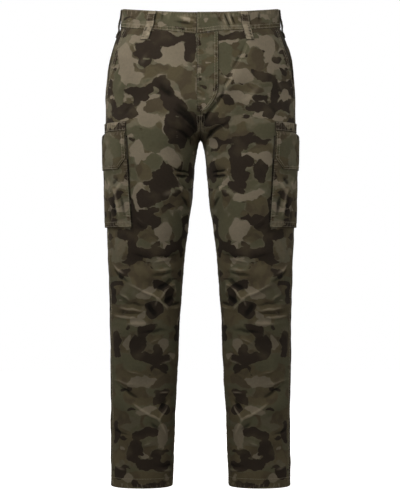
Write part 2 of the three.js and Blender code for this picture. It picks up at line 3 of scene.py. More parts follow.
import bpy
import numpy as np
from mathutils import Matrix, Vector


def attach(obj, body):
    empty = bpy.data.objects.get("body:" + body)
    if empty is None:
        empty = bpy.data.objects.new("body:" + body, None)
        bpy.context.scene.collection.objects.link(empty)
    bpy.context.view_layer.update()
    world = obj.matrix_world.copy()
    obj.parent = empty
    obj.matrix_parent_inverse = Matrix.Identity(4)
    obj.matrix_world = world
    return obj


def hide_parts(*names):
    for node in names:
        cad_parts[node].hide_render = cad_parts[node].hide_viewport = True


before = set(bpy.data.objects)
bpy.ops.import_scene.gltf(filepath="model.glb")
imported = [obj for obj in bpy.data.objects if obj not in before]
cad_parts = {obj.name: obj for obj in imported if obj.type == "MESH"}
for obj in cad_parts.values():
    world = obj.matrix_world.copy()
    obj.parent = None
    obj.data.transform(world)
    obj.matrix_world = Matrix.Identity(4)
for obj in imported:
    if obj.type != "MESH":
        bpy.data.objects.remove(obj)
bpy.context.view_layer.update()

MM = 0.001

# Camera: a product photograph from straight ahead, level with the knees, with a long lens. The
# picture's long side takes in VIEW_HEIGHT at the middle of the trousers. Metres.
CAMERA_DISTANCE = 3.53
CAMERA_HEIGHT = -0.529
CAMERA_SIDE = -0.0013
VIEW_HEIGHT = 1.10
lens = bpy.data.cameras.new("camera")
lens.sensor_width = 36
lens.lens = lens.sensor_width * CAMERA_DISTANCE / VIEW_HEIGHT
camera = bpy.data.objects.new("camera", lens)
camera.location = (CAMERA_SIDE, -CAMERA_DISTANCE, CAMERA_HEIGHT)
camera.rotation_euler = (math.pi / 2, 0, 0)
bpy.context.scene.collection.objects.link(camera)
bpy.context.scene.camera = camera

# Legs: two fronts and two backs of cotton twill printed with camouflage, felled together up the
# sides, the inseams and the seat, and turned up at the hem. They hang as if worn, filled out and
# empty. Sizes from here on are millimetres, and X runs to the wearer's left.
CLOTH = 1.6
HEM_CLOTH = 3.0
SEAM_GAP = 0.3
LEG_SEAM_GAP = 0.08
CENTRE_GAP = 0.04
BAND_SEAM_GAP = 0.15
LYING_GAP = 0.6
HEM_Z = -1046
HEM_DEPTH = 24
CROTCH_Z = -288
CROTCH_START_Z = -192
PARTING_START = 1.35
PARTING_END = 1.5
SECTION_POWER = 2.2
STEP = 2.9


def table(columns, *rows):
    """A short table with named columns, of which the first is the key."""
    return dict(zip(columns.split(), np.array(rows, float).T))


def each_row(rows):
    """A table's rows, each as a dictionary."""
    return [dict(zip(rows, values)) for values in zip(*rows.values())]


OUTLINE = table(
    "z side gap front back",
    (0, 171, 0, 90, 92),
    (-41, 175, 0, 94, 98),
    (-62, 184, 0, 96, 103),
    (-85, 193, 0, 98, 110),
    (-120, 202, 0, 101, 120),
    (-160, 206.5, 0, 103, 127),
    (-205, 209, 0, 103, 129),
    (-245, 208.5, 0, 102, 125),
    (-288, 208, 0, 100, 116),
    (-293, 208, 3.8, 99.8, 115),
    (-303, 207.8, 6.8, 99.5, 113),
    (-331, 207.5, 11, 98, 107),
    (-366, 207, 14.3, 96, 102),
    (-419, 206.5, 18.7, 92, 95),
    (-472, 206, 26.4, 86, 89),
    (-542, 203.5, 35.2, 80, 80),
    (-595, 201.3, 38.9, 76, 75),
    (-683, 199.2, 46, 69, 73),
    (-760, 198.5, 48.6, 65, 71),
    (-860, 197.5, 53.9, 61, 66),
    (-950, 197.5, 57.6, 59, 61),
    (HEM_Z, 197, 61.6, 57, 58),
)
SIDE_SEAM = table("z turn", (0, 4), (-90, 7), (-172, 12), (-500, 15), (HEM_Z, 20))
SLASH_END_Z = -174
SLASH = table(
    "z turn", (-30, 23), (-60, 22.5), (-95, 22), (-125, 20.5), (-155, 16), (SLASH_END_Z, 12)
)


def along(rows, column, at):
    """A smooth curve through a table's column, without overshoot."""
    x, y = next(iter(rows.values())), rows[column]
    if x[0] > x[-1]:
        x, y = x[::-1], y[::-1]
    slope = np.diff(y) / np.diff(x)
    before, after = slope[:-1], slope[1:]
    same = before * after > 0
    inner = np.where(same, 2 * before * after / np.where(same, before + after, 1), 0)
    tangent = np.concatenate([slope[:1], inner, slope[-1:]])
    at = np.clip(at, x[0], x[-1])
    i = np.clip(np.searchsorted(x, at, side="right") - 1, 0, len(x) - 2)
    span = x[i + 1] - x[i]
    t = (at - x[i]) / span
    start = y[i] * (2 * t**3 - 3 * t**2 + 1) + y[i + 1] * (3 * t**2 - 2 * t**3)
    return start + span * (tangent[i] * (t**3 - 2 * t**2 + t) + tangent[i + 1] * (t**3 - t**2))


def smooth(value, low, high):
    """0 below low, 1 above high, and a soft step between them."""
    t = np.clip((value - low) / (high - low), 0, 1)
    return t * t * (3 - 2 * t)


def section(z):
    """One leg's section at a height: its centre, its half sizes and where it meets the middle."""
    side = along(OUTLINE, "side", z)
    fall = np.clip((CROTCH_START_Z - z) / (CROTCH_START_Z - CROTCH_Z), 0, 1)
    parting = np.maximum(1 - (1 - fall**PARTING_START) ** PARTING_END, 1e-6)
    joined = parting < 1
    half_width = np.where(joined, side / (1 + parting), (side - along(OUTLINE, "gap", z)) / 2)
    rise = (parting**-SECTION_POWER - 1) ** (1 / SECTION_POWER)
    return {
        "centre": side - half_width,
        "half_width": half_width,
        "front": along(OUTLINE, "front", z),
        "back": along(OUTLINE, "back", z),
        "inner_turn": np.where(joined, math.pi - np.arctan(rise), math.pi),
        "joined": joined,
    }


def base_point(turn, z):
    """A point of the wearer's left leg before its folds. Turns are radians: 0 outermost, 90
    degrees at the front."""
    s = section(z)
    c, d = np.cos(turn), np.sin(turn)
    radius = (np.abs(c) ** SECTION_POWER + np.abs(d) ** SECTION_POWER) ** (-1 / SECTION_POWER)
    depth = np.where(d > 0, s["front"], s["back"])
    x = s["centre"] + s["half_width"] * radius * c
    return np.stack(np.broadcast_arrays(x, -depth * radius * d, z), axis=-1)


def base_normal(turn, z):
    """The outward direction of the left leg's surface."""
    step, lift = 0.01, 1.0
    around = base_point(turn + step, z) - base_point(turn - step, z)
    up = base_point(turn, z + lift) - base_point(turn, z - lift)
    normal = np.cross(around, up)
    normal /= np.linalg.norm(normal, axis=-1, keepdims=True)
    outward = normal[..., 0] * np.cos(turn) - normal[..., 1] * np.sin(turn)
    return normal * np.where(outward < 0, -1, 1)[..., None]


def local_radius(z):
    s = section(z)
    return (s["half_width"] + (s["front"] + s["back"]) / 2) / 2


def side_seam(z):
    return np.radians(along(SIDE_SEAM, "turn", z))


def turn_at_x(x, z):
    """The turn at which the front of a leg stands at a distance from the centre plane."""
    x, z = np.broadcast_arrays(np.asarray(x, float), np.asarray(z, float))
    low, high = np.zeros_like(x), section(z)["inner_turn"] + np.zeros_like(x)
    for _ in range(40):
        middle = (low + high) / 2
        further = base_point(middle, z)[..., 0] > x
        low, high = np.where(further, middle, low), np.where(further, high, middle)
    return (low + high) / 2


# The cloth's own measure: millimetres of cloth outward from the centre plane, over the front,
# round the side and on to the back, read from a grid of lengths
ARC_TURNS = np.radians(np.arange(-180, 181, 1.0))
ARC_LEVELS = np.linspace(10, HEM_Z - 10, 216)
arc_points = base_point(ARC_TURNS[None, :], ARC_LEVELS[:, None])
arc_steps = np.linalg.norm(np.diff(arc_points, axis=1), axis=2)
arc_length = np.concatenate([np.zeros((len(ARC_LEVELS), 1)), np.cumsum(arc_steps, axis=1)], axis=1)
FRONT_LINE = 270
arc_outward = section(ARC_LEVELS)["centre"][:, None] + arc_length[:, [FRONT_LINE]] - arc_length


def across(turn, z):
    column = np.clip((np.degrees(turn) + 180), 0, 359.999)
    row = (ARC_LEVELS[0] - z) / (ARC_LEVELS[0] - ARC_LEVELS[1])
    row = np.clip(row, 0, len(ARC_LEVELS) - 1.001)
    column, row = np.broadcast_arrays(column, row)
    i, j = row.astype(int), column.astype(int)
    a, b = row - i, column - j
    near = arc_outward[i, j] * (1 - b) + arc_outward[i, j + 1] * b
    far = arc_outward[i + 1, j] * (1 - b) + arc_outward[i + 1, j + 1] * b
    return near * (1 - a) + far * a


def ripple(u, v, seed):
    """Smooth uneven waves between about -1 and 1, one to a unit of u and v."""
    angles = np.random.default_rng(seed).uniform(0, 2 * math.pi, (64, 64))
    u, v = np.broadcast_arrays(u, v)
    i, j = np.floor(u).astype(int), np.floor(v).astype(int)
    a, b = u - i, v - j

    def pull(di, dj):
        angle = angles[(i + di) % 64, (j + dj) % 64]
        return np.cos(angle) * (a - di) + np.sin(angle) * (b - dj)

    fa, fb = a**3 * (a * (6 * a - 15) + 10), b**3 * (b * (6 * b - 15) + 10)
    near = pull(0, 0) * (1 - fa) + pull(1, 0) * fa
    far = pull(0, 1) * (1 - fa) + pull(1, 1) * fa
    return 1.5 * (near * (1 - fb) + far * fb)


# The largest folds, as the solids have them: degrees round the leg, and millimetres. side is 1
# for the wearer's left leg, -1 for the right and 0 for both.
FOLDS = table(
    "side turn z end_turn end_z width height",
    (1, 57, -85, 77, -199, 12, 4),
    (1, 77, -199, 126, -252, 12, 4.4),
    (1, 66, -178, 94, -250, 16, -3.6),
    (-1, 84, -196, 120, -262, 16, -3.6),
    (-1, 76, -216, 112, -280, 14, 3),
    (0, 96, -310, 146, -298, 18, -3),
    (0, 34, -190, 68, -216, 20, -2.6),
    (0, 125, -364, 150, -364, 14, -4),
    (0, 127, -376, 166, -443, 16, 3.4),
    (0, 66, -494, 112, -508, 20, -3),
    (0, 62, -548, 104, -555, 11, -4),
    (0, 104, -555, 153, -544, 11, -3.6),
    (0, 62, -576, 126, -580, 15, 3.4),
    (0, 41, -572, 107, -630, 11, 4),
    (0, 107, -630, 141, -593, 11, 3.8),
    (0, 107, -630, 129, -658, 11, 3.4),
    (0, 88, -608, 124, -606, 12, -3.4),
    (0, 24, -628, 78, -648, 12, -3.6),
    (0, 22, -664, 84, -676, 13, -3.2),
    (0, 50, -726, 116, -738, 22, -3),
    (0, 64, -800, 120, -796, 22, -2.6),
    (0, 44, -846, 118, -896, 18, 3.4),
    (0, 118, -896, 148, -862, 18, 3.2),
    (0, 24, -886, 74, -910, 20, -3),
    (0, 44, -956, 108, -970, 22, -3),
    (1, -104, -244, -60, -266, 18, -4),
    (-1, -100, -236, -58, -262, 18, -4.2),
    (0, -152, -314, -100, -330, 18, -4.2),
    (1, -158, -348, -110, -384, 20, -3.4),
    (-1, -156, -356, -112, -398, 20, -3.4),
    (0, -148, -544, -62, -558, 12, -4.4),
    (0, -150, -568, -70, -580, 12, 3.6),
    (0, -142, -598, -58, -602, 12, -4.4),
    (0, -136, -622, -66, -620, 12, 3),
    (1, -128, -640, -46, -656, 13, -3.8),
    (-1, -132, -644, -50, -650, 13, -3.8),
    (0, -120, -716, -60, -738, 22, -3.2),
    (0, -124, -846, -56, -860, 22, -3),
    (1, -130, -944, -60, -962, 20, -3.4),
    (-1, -126, -936, -64, -956, 20, -3.4),
)

# Sharper creases on the fronts. out is the distance from the centre plane as seen from ahead.
CREASES = table(
    "side out z end_out end_z width height",
    (1, 104, -80, 72, -147, 3.7, 1.4),
    (1, 72, -147, 50, -194, 3.7, 1.7),
    (1, 97, -86, 64, -149, 4.4, -1.4),
    (1, 64, -149, 46, -190, 4.4, -1.7),
    (1, 53, -186, 30, -222, 3.7, -2.7),
    (1, 34, -216, 4, -256, 3.9, -3.2),
    (1, 42, -219, 14, -260, 5.4, 0.7),
    (1, 62, -252, 12, -290, 6.0, -1.3),
    (1, 44, -262, 9, -296, 4.4, -1.1),
    (1, 132, -173, 85, -216, 10.7, 1.2),
    (1, 76, -233, 20, -267, 10.7, 0.7),
    (1, 67, -250, 14, -284, 8.6, -0.8),
    (-1, 91, -173, 49, -216, 12.9, -1.3),
    (-1, 49, -216, 10, -263, 9.7, -1.5),
    (-1, 87, -201, 36, -216, 10.7, 1.0),
    (-1, 70, -241, 12, -280, 10.7, 0.7),
    (-1, 61, -267, 14, -297, 6.6, -1.3),
    (-1, 56, -228, 9, -272, 5.4, -1.6),
    (-1, 40, -254, 8, -292, 4.4, -1.4),
    (-1, 164, -147, 182, -190, 8.6, 0.9),
    (-1, 113, -104, 134, -134, 12.9, 0.9),
    (1, 164, -151, 179, -198, 8.6, 0.9),
    (0, 144, -207, 168, -241, 10.7, -1.0),
    (0, 53, -358, 25, -360, 4.0, -2.8),
    (0, 55, -370, 27, -369, 4.0, -2.6),
    (0, 53, -364, 29, -365, 3.6, 2.0),
    (0, 62, -352, 53, -362, 4.0, 1.6),
    (0, 53, -368, 48, -390, 3.5, 1.4),
    (0, 48, -390, 39, -410, 3.5, 1.6),
    (0, 39, -410, 26, -428, 3.5, 1.4),
    (0, 44, -385, 32, -400, 5.4, -1.2),
    (0, 42, -407, 29, -435, 6.4, -1.8),
    (0, 147, -452, 112, -478, 5.6, 0.8),
    (0, 152, -462, 109, -490, 7.3, -0.8),
    (0, 139, -383, 109, -400, 8.6, 1.0),
    (0, 87, -413, 44, -396, 10.7, 1.2),
    (0, 150, -537, 106, -547, 4.3, -0.9),
    (0, 106, -547, 44, -538, 4.3, -1.0),
    (0, 106, -555, 66, -548, 4.3, 1.6),
    (0, 102, -574, 68, -568, 4.3, 1.6),
    (0, 109, -583, 61, -576, 6.4, -1.6),
    (0, 190, -559, 160, -581, 4.3, 1.8),
    (0, 186, -572, 156, -598, 5.6, -1.8),
    (0, 156, -600, 122, -619, 4.4, 1.3),
    (0, 124, -616, 94, -632, 4.0, 2.3),
    (0, 94, -632, 72, -658, 3.9, 2.1),
    (0, 90, -634, 68, -606, 3.8, 2.2),
    (0, 68, -606, 57, -603, 3.8, 1.8),
    (0, 57, -603, 55, -626, 3.8, 1.3),
    (0, 94, -632, 99, -656, 3.7, 1.3),
    (0, 91, -615, 61, -593, 7.3, -2.4),
    (0, 81, -643, 59, -630, 7.3, -2.4),
    (0, 113, -643, 96, -671, 8.6, -1.8),
    (0, 66, -649, 46, -643, 3.4, -1.8),
    (0, 66, -656, 46, -651, 3.0, 1.5),
    (0, 173, -641, 117, -649, 4.0, -1.2),
    (0, 177, -654, 119, -660, 4.4, 2.0),
    (0, 182, -664, 122, -668, 4.0, -1.0),
    (0, 190, -672, 134, -676, 4.4, 1.9),
    (0, 164, -690, 109, -686, 6.4, 1.6),
    (0, 176, -622, 150, -640, 4.0, 1.7),
    (0, 60, -571, 84, -576, 4.0, 1.5),
    (0, 130, -707, 70, -701, 6.4, -1.3),
    (0, 113, -731, 83, -718, 4.3, 1.3),
    (0, 91, -776, 61, -767, 4.3, 1.3),
    (0, 164, -787, 126, -800, 4.7, 1.2),
    (0, 190, -810, 139, -821, 4.7, 1.3),
    (0, 177, -823, 134, -849, 4.7, -1.5),
    (0, 91, -838, 68, -838, 3.9, 1.6),
    (0, 147, -860, 117, -881, 4.7, 1.9),
    (0, 117, -881, 91, -896, 4.7, 2.4),
    (0, 91, -896, 74, -933, 4.3, 1.6),
    (0, 91, -896, 70, -860, 3.9, 1.8),
    (0, 87, -873, 74, -857, 6.9, -2.2),
    (0, 109, -903, 87, -920, 6.9, -1.4),
    (0, 190, -918, 156, -930, 4.3, -1.3),
    (0, 130, -954, 104, -946, 4.3, 1.2),
    (0, 91, -1006, 64, -1010, 4.3, 1.3),
    (0, 98, -997, 61, -999, 5.6, -1.2),
    (0, 186, -997, 160, -1008, 5.2, 1.3),
)

# Creases on the backs, scattered where such trousers crease: under the seat, behind the knees and
# down the calves. Each row gives a zone, how many creases lie in it and how they run.
BACK_CREASES = table(
    "top bottom count length width height lean",
    (-150, -250, 7, 70, 9, 1.4, 18),
    (-290, -400, 9, 70, 7, 1.8, 16),
    (-520, -680, 22, 85, 5.5, 2.0, 9),
    (-700, -860, 10, 70, 7, 1.5, 10),
    (-870, -1010, 9, 60, 7, 1.5, 12),
)
BACK_SEED = 41
# Twill creases crisply: each sharp crease is made narrower and taller than its row by these shares,
# and its line wanders sideways by a little over a set length of cloth
CREASE_PINCH = 0.78
CREASE_LIFT = 1.7
CREASE_WANDER = 2.4
CREASE_WANDER_LENGTH = 19


def place_creases():
    """Every sharp crease as its side, its ends in the cloth's own measure, width and height."""
    placed = []
    for row in each_row(CREASES):
        start = across(turn_at_x(row["out"], row["z"]), row["z"])
        end = across(turn_at_x(row["end_out"], row["end_z"]), row["end_z"])
        width, height = row["width"] * CREASE_PINCH, row["height"] * CREASE_LIFT
        placed.append((row["side"], start, row["z"], end, row["end_z"], width, height))
    draw = np.random.default_rng(BACK_SEED)
    for row in each_row(BACK_CREASES):
        for side in (-1, 1):
            for k in range(int(row["count"])):
                z = draw.uniform(row["bottom"], row["top"])
                start = across(np.radians(draw.uniform(-70, -20)), z)
                run = row["length"] * draw.uniform(0.5, 1.4)
                lean = math.radians(row["lean"] * draw.uniform(-1, 1.2))
                height = row["height"] * draw.uniform(0.5, 1.1) * (-1 if k % 2 else 1)
                width = row["width"] * draw.uniform(0.7, 1.3)
                end = start + run * math.cos(lean)
                placed.append((side, start, z, end, z + run * math.sin(lean), width, height))
    return placed


SHARP_CREASES = place_creases()


def line_bump(u, v, run_u, run_v, width):
    """A bump along a line that tapers towards its ends; u and v are measured from its start."""
    share = np.clip((u * run_u + v * run_v) / (run_u**2 + run_v**2), 0, 1)
    away2 = (u - share * run_u) ** 2 + (v - share * run_v) ** 2
    taper = 0.35 + 0.65 * np.sin(math.pi * np.clip(share, 0.03, 0.97))
    return taper * np.exp(-away2 / width**2)


# Ground that pockets, placket, waistband and hem keep flat
POCKET_HALF_WIDTH = 85
POCKET_TOP_Z = -284
POCKET_BOTTOM_Z = -480
POCKET_BAND_TOP_Z = -253
POCKET_MARGIN = 14
FLY_REACH = 40
FLY_NARROWS_Z = -180
FLY_END_Z = -236


def covered(turn, z):
    past = np.abs((turn - side_seam(z)) * local_radius(z)) - POCKET_HALF_WIDTH
    tall = np.maximum(z - POCKET_BAND_TOP_Z, POCKET_BOTTOM_Z - z)
    pocket = 1 - smooth(np.maximum(past, tall), 0, POCKET_MARGIN)
    x = np.abs(base_point(turn, z)[..., 0])
    reach = FLY_REACH - 0.8 * np.clip(FLY_NARROWS_Z - z, 0, 50)
    fly = np.where(turn > 0, 1 - smooth(np.maximum(x - reach, FLY_END_Z - z), 0, 14), 0)
    waist = smooth(z, -84, -70)
    hem = 1 - smooth(z, HEM_Z + 4, HEM_Z + HEM_DEPTH + 12)
    return np.maximum.reduce([pocket, fly, waist, hem])


def seam_pucker(away, run, seed):
    """A sewn seam: a narrow valley, and short waves that die out beside it."""
    valley = -0.6 * np.exp(-((away / 1.8) ** 2))
    waves = ripple(run / 9, away / 22, seed) + 0.5 * ripple(run / 4.6, away / 14, seed + 1)
    return valley + 0.6 * waves * np.exp(-((away / 9) ** 2))


def sharp_relief(side, turn, z):
    """How far the sharp creases alone stand out."""
    side, turn, z = np.broadcast_arrays(side, turn, np.asarray(z, float))
    u = across(turn, z)
    a, b = u / CREASE_WANDER_LENGTH, z / CREASE_WANDER_LENGTH
    u, z = u + CREASE_WANDER * ripple(a, b, 91), z + CREASE_WANDER * ripple(a, b, 92)
    height = np.zeros_like(z)
    for crease_side, start, start_z, end, end_z, width, crest in SHARP_CREASES:
        bump = line_bump(u - start, z - start_z, end - start, end_z - start_z, width)
        height += crest * bump * ((crease_side == 0) | (crease_side == side))
    return height


def relief(side, turn, z):
    """How far the folded cloth stands out of the base surface."""
    side, turn, z = np.broadcast_arrays(side, turn, np.asarray(z, float))
    u = across(turn, z)
    radius = local_radius(z)
    height = np.zeros_like(z)
    for fold in each_row(FOLDS):
        start, end = np.radians(fold["turn"]), np.radians(fold["end_turn"])
        bump = line_bump(
            (turn - start) * radius, z - fold["z"], (end - start) * radius,
            fold["end_z"] - fold["z"], fold["width"],
        )
        height += fold["height"] * bump * ((fold["side"] == 0) | (fold["side"] == side))
    height += sharp_relief(side, turn, z)
    seam = across(side_seam(z), z)
    height += seam_pucker(u - seam, z, 21)
    inner = across(np.full_like(z, math.pi), z)
    outer = across(np.full_like(z, -math.pi), z)
    inseam = np.where(turn > 0, u - inner, outer - u)
    height += np.where(z < CROTCH_Z, seam_pucker(inseam, z, 23), 0)
    x = np.abs(base_point(turn, z)[..., 0])
    height += np.where(z > CROTCH_Z, seam_pucker(x, z, 25), 0)
    free = 1 - covered(turn, z)
    beside_seam = np.where(z > CROTCH_Z - 12, smooth(x, 0, 9), 1)
    free = free * beside_seam
    swell = 1.3 * ripple(side * u / 66, z / 48, 11) + 0.5 * ripple(side * u / 27, z / 18, 12)
    hem_waves = 0.5 * ripple(side * u / 13 + z / 30, z / 40, 13) * (1 - smooth(z, -1040, -1016))
    return free * height + (0.3 + 0.7 * free) * beside_seam * swell + hem_waves


def on_cloth(side, turn, z, out):
    """Points that stand a given distance out of a leg's folded cloth, and the way out there.
    Past the centre plane they lie on the other side of the garment."""
    side, turn, z, out = np.broadcast_arrays(side, turn, np.asarray(z, float), out)
    past = (np.abs(turn) > math.pi / 2) & (z > CROTCH_START_Z)
    turn = np.where(past, np.sign(turn) * math.pi - turn, turn)
    side = np.where(past, -side, side)
    normal = base_normal(turn, z)
    point = base_point(turn, z) + normal * (out + relief(side, turn, z))[..., None]
    point[..., 0] = np.maximum(point[..., 0], CENTRE_GAP / 2) * side
    normal[..., 0] *= side
    return point, normal


def spread(count, length, roll):
    """Shares from 0 to 1 that stand closer at both ends, where a cloth's edge rolls over."""
    near = np.array([0, 0.12, 0.35, 0.7, 1.1]) * roll / length
    middle = np.linspace(near[-1] + 1.5 / length, 1 - near[-1] - 1.5 / length, count)
    return np.concatenate([near, middle, 1 - near[::-1]])


def from_edges(points):
    """Each grid point's distance from the nearer end of its row and of its column."""
    distances = []
    for axis in (1, 0):
        steps = np.linalg.norm(np.diff(points, axis=axis), axis=2)
        zero = np.zeros_like(steps.take([0], axis))
        run = np.cumsum(np.concatenate([zero, steps], axis=axis), axis=axis)
        distances.append(np.minimum(run, run.take([-1], axis) - run))
    return distances


def closed_wall(name, face, back):
    """A closed mesh between two grids of points, in metres."""
    rows, columns = face.shape[:2]
    index = np.arange(2 * rows * columns).reshape(2, rows, columns)
    front, rear = index

    def quads(a, b, c, d):
        return np.stack([a, b, c, d], axis=-1).reshape(-1, 4)

    faces = [
        quads(front[:-1, :-1], front[1:, :-1], front[1:, 1:], front[:-1, 1:]),
        quads(rear[:-1, :-1], rear[:-1, 1:], rear[1:, 1:], rear[1:, :-1]),
        quads(front[:-1, 0], rear[:-1, 0], rear[1:, 0], front[1:, 0]),
        quads(rear[:-1, -1], front[:-1, -1], front[1:, -1], rear[1:, -1]),
        quads(rear[0, :-1], front[0, :-1], front[0, 1:], rear[0, 1:]),
        quads(front[-1, :-1], rear[-1, :-1], rear[-1, 1:], front[-1, 1:]),
    ]
    faces = np.concatenate(faces)
    middle = (rows // 2, columns // 2)
    across_grid = face[middle] - face[rows // 2, columns // 2 - 1]
    down_grid = face[middle] - face[rows // 2 - 1, columns // 2]
    if np.dot(np.cross(down_grid, across_grid), face[middle] - back[middle]) < 0:
        faces = faces[:, ::-1]
    mesh = bpy.data.meshes.new(name)
    points = np.concatenate([face.reshape(-1, 3), back.reshape(-1, 3)]) * MM
    mesh.from_pydata(points.tolist(), [], faces.tolist())
    mesh.shade_smooth()
    made = bpy.data.objects.new(name, mesh)
    bpy.context.scene.collection.objects.link(made)
    return made


def note(piece, name, face, back=None):
    """Writes a number for each point of a wall, for its material to read."""
    values = np.concatenate([face.ravel(), (face if back is None else back).ravel()])
    attribute = piece.data.attributes.new(name, "FLOAT", "POINT")
    attribute.data.foreach_set("value", values.astype(np.float32))


# The print's tones, each a table of blots: out and z as for the creases, half sizes, and how many
# degrees its outer end is raised. They stand about where the photograph has its large masses, with
# shapes of their own.
DARK = table(
    "side out z wide tall lean",
    (-1, 112, -100, 34, 17, -20), (-1, 78, -73, 44, 16, -8), (-1, 21, -95, 12, 34, 0),
    (-1, 134, -186, 34, 12, 0), (-1, 137, -206, 10, 15, 0), (-1, 76, -190, 15, 26, 0),
    (-1, 52, -222, 30, 18, -30), (-1, 30, -262, 26, 26, 0), (-1, 64, -264, 14, 30, 0),
    (-1, 168, -233, 28, 15, 10), (-1, 36, -296, 15, 12, 0),
    (1, 70, -70, 34, 9, 0), (1, 166, -117, 13, 9, 0), (1, 134, -155, 28, 11, 15),
    (1, 160, -190, 11, 34, 0), (1, 132, -222, 36, 9, 0), (1, 62, -206, 16, 9, 30),
    (1, 16, -246, 15, 9, 35), (1, 84, -306, 27, 9, -36), (1, 75, -343, 14, 31, 0),
    (1, 86, -388, 13, 13, 0), (1, 128, -359, 15, 26, -10), (1, 132, -467, 24, 11, 10),
    (-1, 64, -377, 25, 12, -38), (-1, 90, -398, 29, 16, -35), (-1, 116, -421, 23, 17, -25),
    (-1, 105, -449, 16, 8, 20),
    (0, 136, -480, 24, 13, 10), (0, 146, -512, 13, 26, 0), (0, 112, -536, 40, 12, 0),
    (0, 164, -581, 17, 9, 30), (0, 78, -610, 29, 13, -18), (0, 101, -657, 22, 20, 0),
    (0, 67, -634, 12, 23, 12),
    (0, 114, -702, 29, 12, 16), (0, 138, -735, 17, 25, -24), (0, 110, -763, 36, 12, -8),
    (0, 92, -744, 12, 16, 30), (0, 182, -731, 11, 28, 0), (0, 81, -875, 13, 13, 20),
    (0, 84, -768, 20, 9, 16), (0, 122, -926, 28, 12, 14), (0, 143, -960, 15, 24, -22),
    (0, 112, -992, 36, 12, -10), (0, 93, -974, 13, 14, 35), (0, 177, -1012, 16, 17, 0),
    (0, 78, -1000, 22, 8, 18),
    (0, 184, -925, 9, 26, 0),
)
TAN = table(
    "side out z wide tall lean",
    (-1, 55, -108, 27, 27, 20), (-1, 82, -116, 20, 14, 0), (-1, 164, -118, 19, 34, 0),
    (-1, 146, -158, 26, 14, 10), (-1, 112, -250, 26, 15, 0), (-1, 68, -262, 15, 22, 0),
    (-1, 61, -331, 26, 14, -40), (-1, 135, -316, 14, 26, 0), (-1, 134, -414, 12, 24, 0),
    (1, 149, -98, 14, 26, 0), (1, 90, -158, 24, 14, 0), (1, 80, -201, 18, 14, 0),
    (1, 7, -175, 16, 14, 0), (1, 183, -196, 13, 13, 0), (1, 136, -336, 18, 18, 0),
    (1, 102, -413, 32, 9, -10), (1, 85, -475, 18, 13, 0), (1, 24, -301, 16, 11, 0),
    (0, 78, -490, 16, 24, 0), (0, 116, -621, 26, 9, 20), (0, 137, -684, 20, 12, 0),
    (0, 79, -735, 15, 14, 0), (0, 160, -731, 10, 15, 0), (0, 130, -814, 30, 14, 0),
    (0, 118, -877, 24, 9, 20), (0, 82, -930, 15, 26, 0), (0, 160, -1025, 16, 9, 0),
)
OLIVE = table(
    "side out z wide tall lean",
    (1, 38, -276, 30, 13, 15), (-1, 109, -147, 34, 14, 0), (-1, 50, -152, 24, 19, 0),
    (-1, 29, -184, 18, 24, 0),
    (-1, 87, -220, 34, 15, 0), (-1, 122, -364, 15, 21, 0), (1, 119, -121, 20, 28, 0),
    (1, 99, -183, 36, 9, 0), (1, 155, -89, 20, 12, 0), (1, 121, -436, 24, 26, 0),
    (1, 46, -350, 24, 18, 0), (1, 55, -216, 20, 20, 0), (0, 128, -585, 26, 26, 0),
    (0, 98, -497, 40, 9, 0), (0, 96, -810, 20, 20, 0), (0, 109, -1023, 30, 12, 0),
    (0, 143, -939, 16, 12, 0),
)
GREEN = table(
    "side out z wide tall lean",
    (-1, 97, -340, 17, 19, 0), (-1, 104, -293, 38, 24, 0), (-1, 177, -175, 16, 44, 0),
    (-1, 29, -327, 16, 44, 0),
    (1, 52, -121, 18, 34, 0), (1, 16, -125, 16, 40, 0), (1, 153, -274, 44, 18, 0),
    (1, 74, -439, 18, 20, 0), (1, 40, -432, 14, 38, 0), (1, 117, -392, 34, 11, 0),
    (0, 49, -475, 14, 34, 0), (0, 109, -701, 44, 12, 0), (0, 145, -778, 30, 14, 0),
    (0, 104, -903, 20, 11, 0),
)
# The rest of the print is grown from uneven waves: their length sideways and down the cloth, how
# much of the cloth a tone takes, and how far its shapes reach past the waves' middle
GROWTH = {
    "green": {"wide": 74, "tall": 40, "level": 0.02, "reach": 22},
    "olive": {"wide": 56, "tall": 34, "level": 0.10, "reach": 18},
    "tan": {"wide": 48, "tall": 31, "level": 0.18, "reach": 16},
    "dark": {"wide": 58, "tall": 34, "level": 0.24, "reach": 18},
}
CHART = {"green": GREEN, "olive": OLIVE, "tan": TAN, "dark": DARK}


def grown_shapes(tone, u, z, seed, scale):
    """Roughly the millimetres inside a tone's grown shapes; negative outside."""
    rule = GROWTH[tone]
    a, b = u / (rule["wide"] * scale), z / (rule["tall"] * scale)
    waves = ripple(a, b, seed) + 0.5 * ripple(2.1 * a, 2.1 * b, seed + 1)
    waves += 0.16 * ripple(5 * a, 5 * b, seed + 2)
    return (waves - rule["level"]) * rule["reach"] * scale


def charted_shapes(rows, side, u, z):
    """Millimetres inside the nearest charted blot, where neighbours flow together."""
    depth = np.full(u.shape, -60.0)
    flow = 7.0
    for row in each_row(rows):
        if row["side"] not in (0, side):
            continue
        at_u = across(turn_at_x(row["out"], row["z"]), row["z"])
        lean = math.radians(-row["lean"])
        c, s = math.cos(lean), math.sin(lean)
        a = ((u - at_u) * c + (z - row["z"]) * s) / row["wide"]
        b = ((z - row["z"]) * c - (u - at_u) * s) / row["tall"]
        inside = (1 - np.hypot(a, b)) * min(row["wide"], row["tall"])
        share = np.clip(0.5 + 0.5 * (depth - inside) / flow, 0, 1)
        depth = inside * (1 - share) + depth * share + flow * share * (1 - share)
    ragged = 3.6 * ripple(u / 21, z / 17, 71) + 1.6 * ripple(u / 8, z / 7, 72)
    return depth + np.where(depth > -30, ragged, 0)


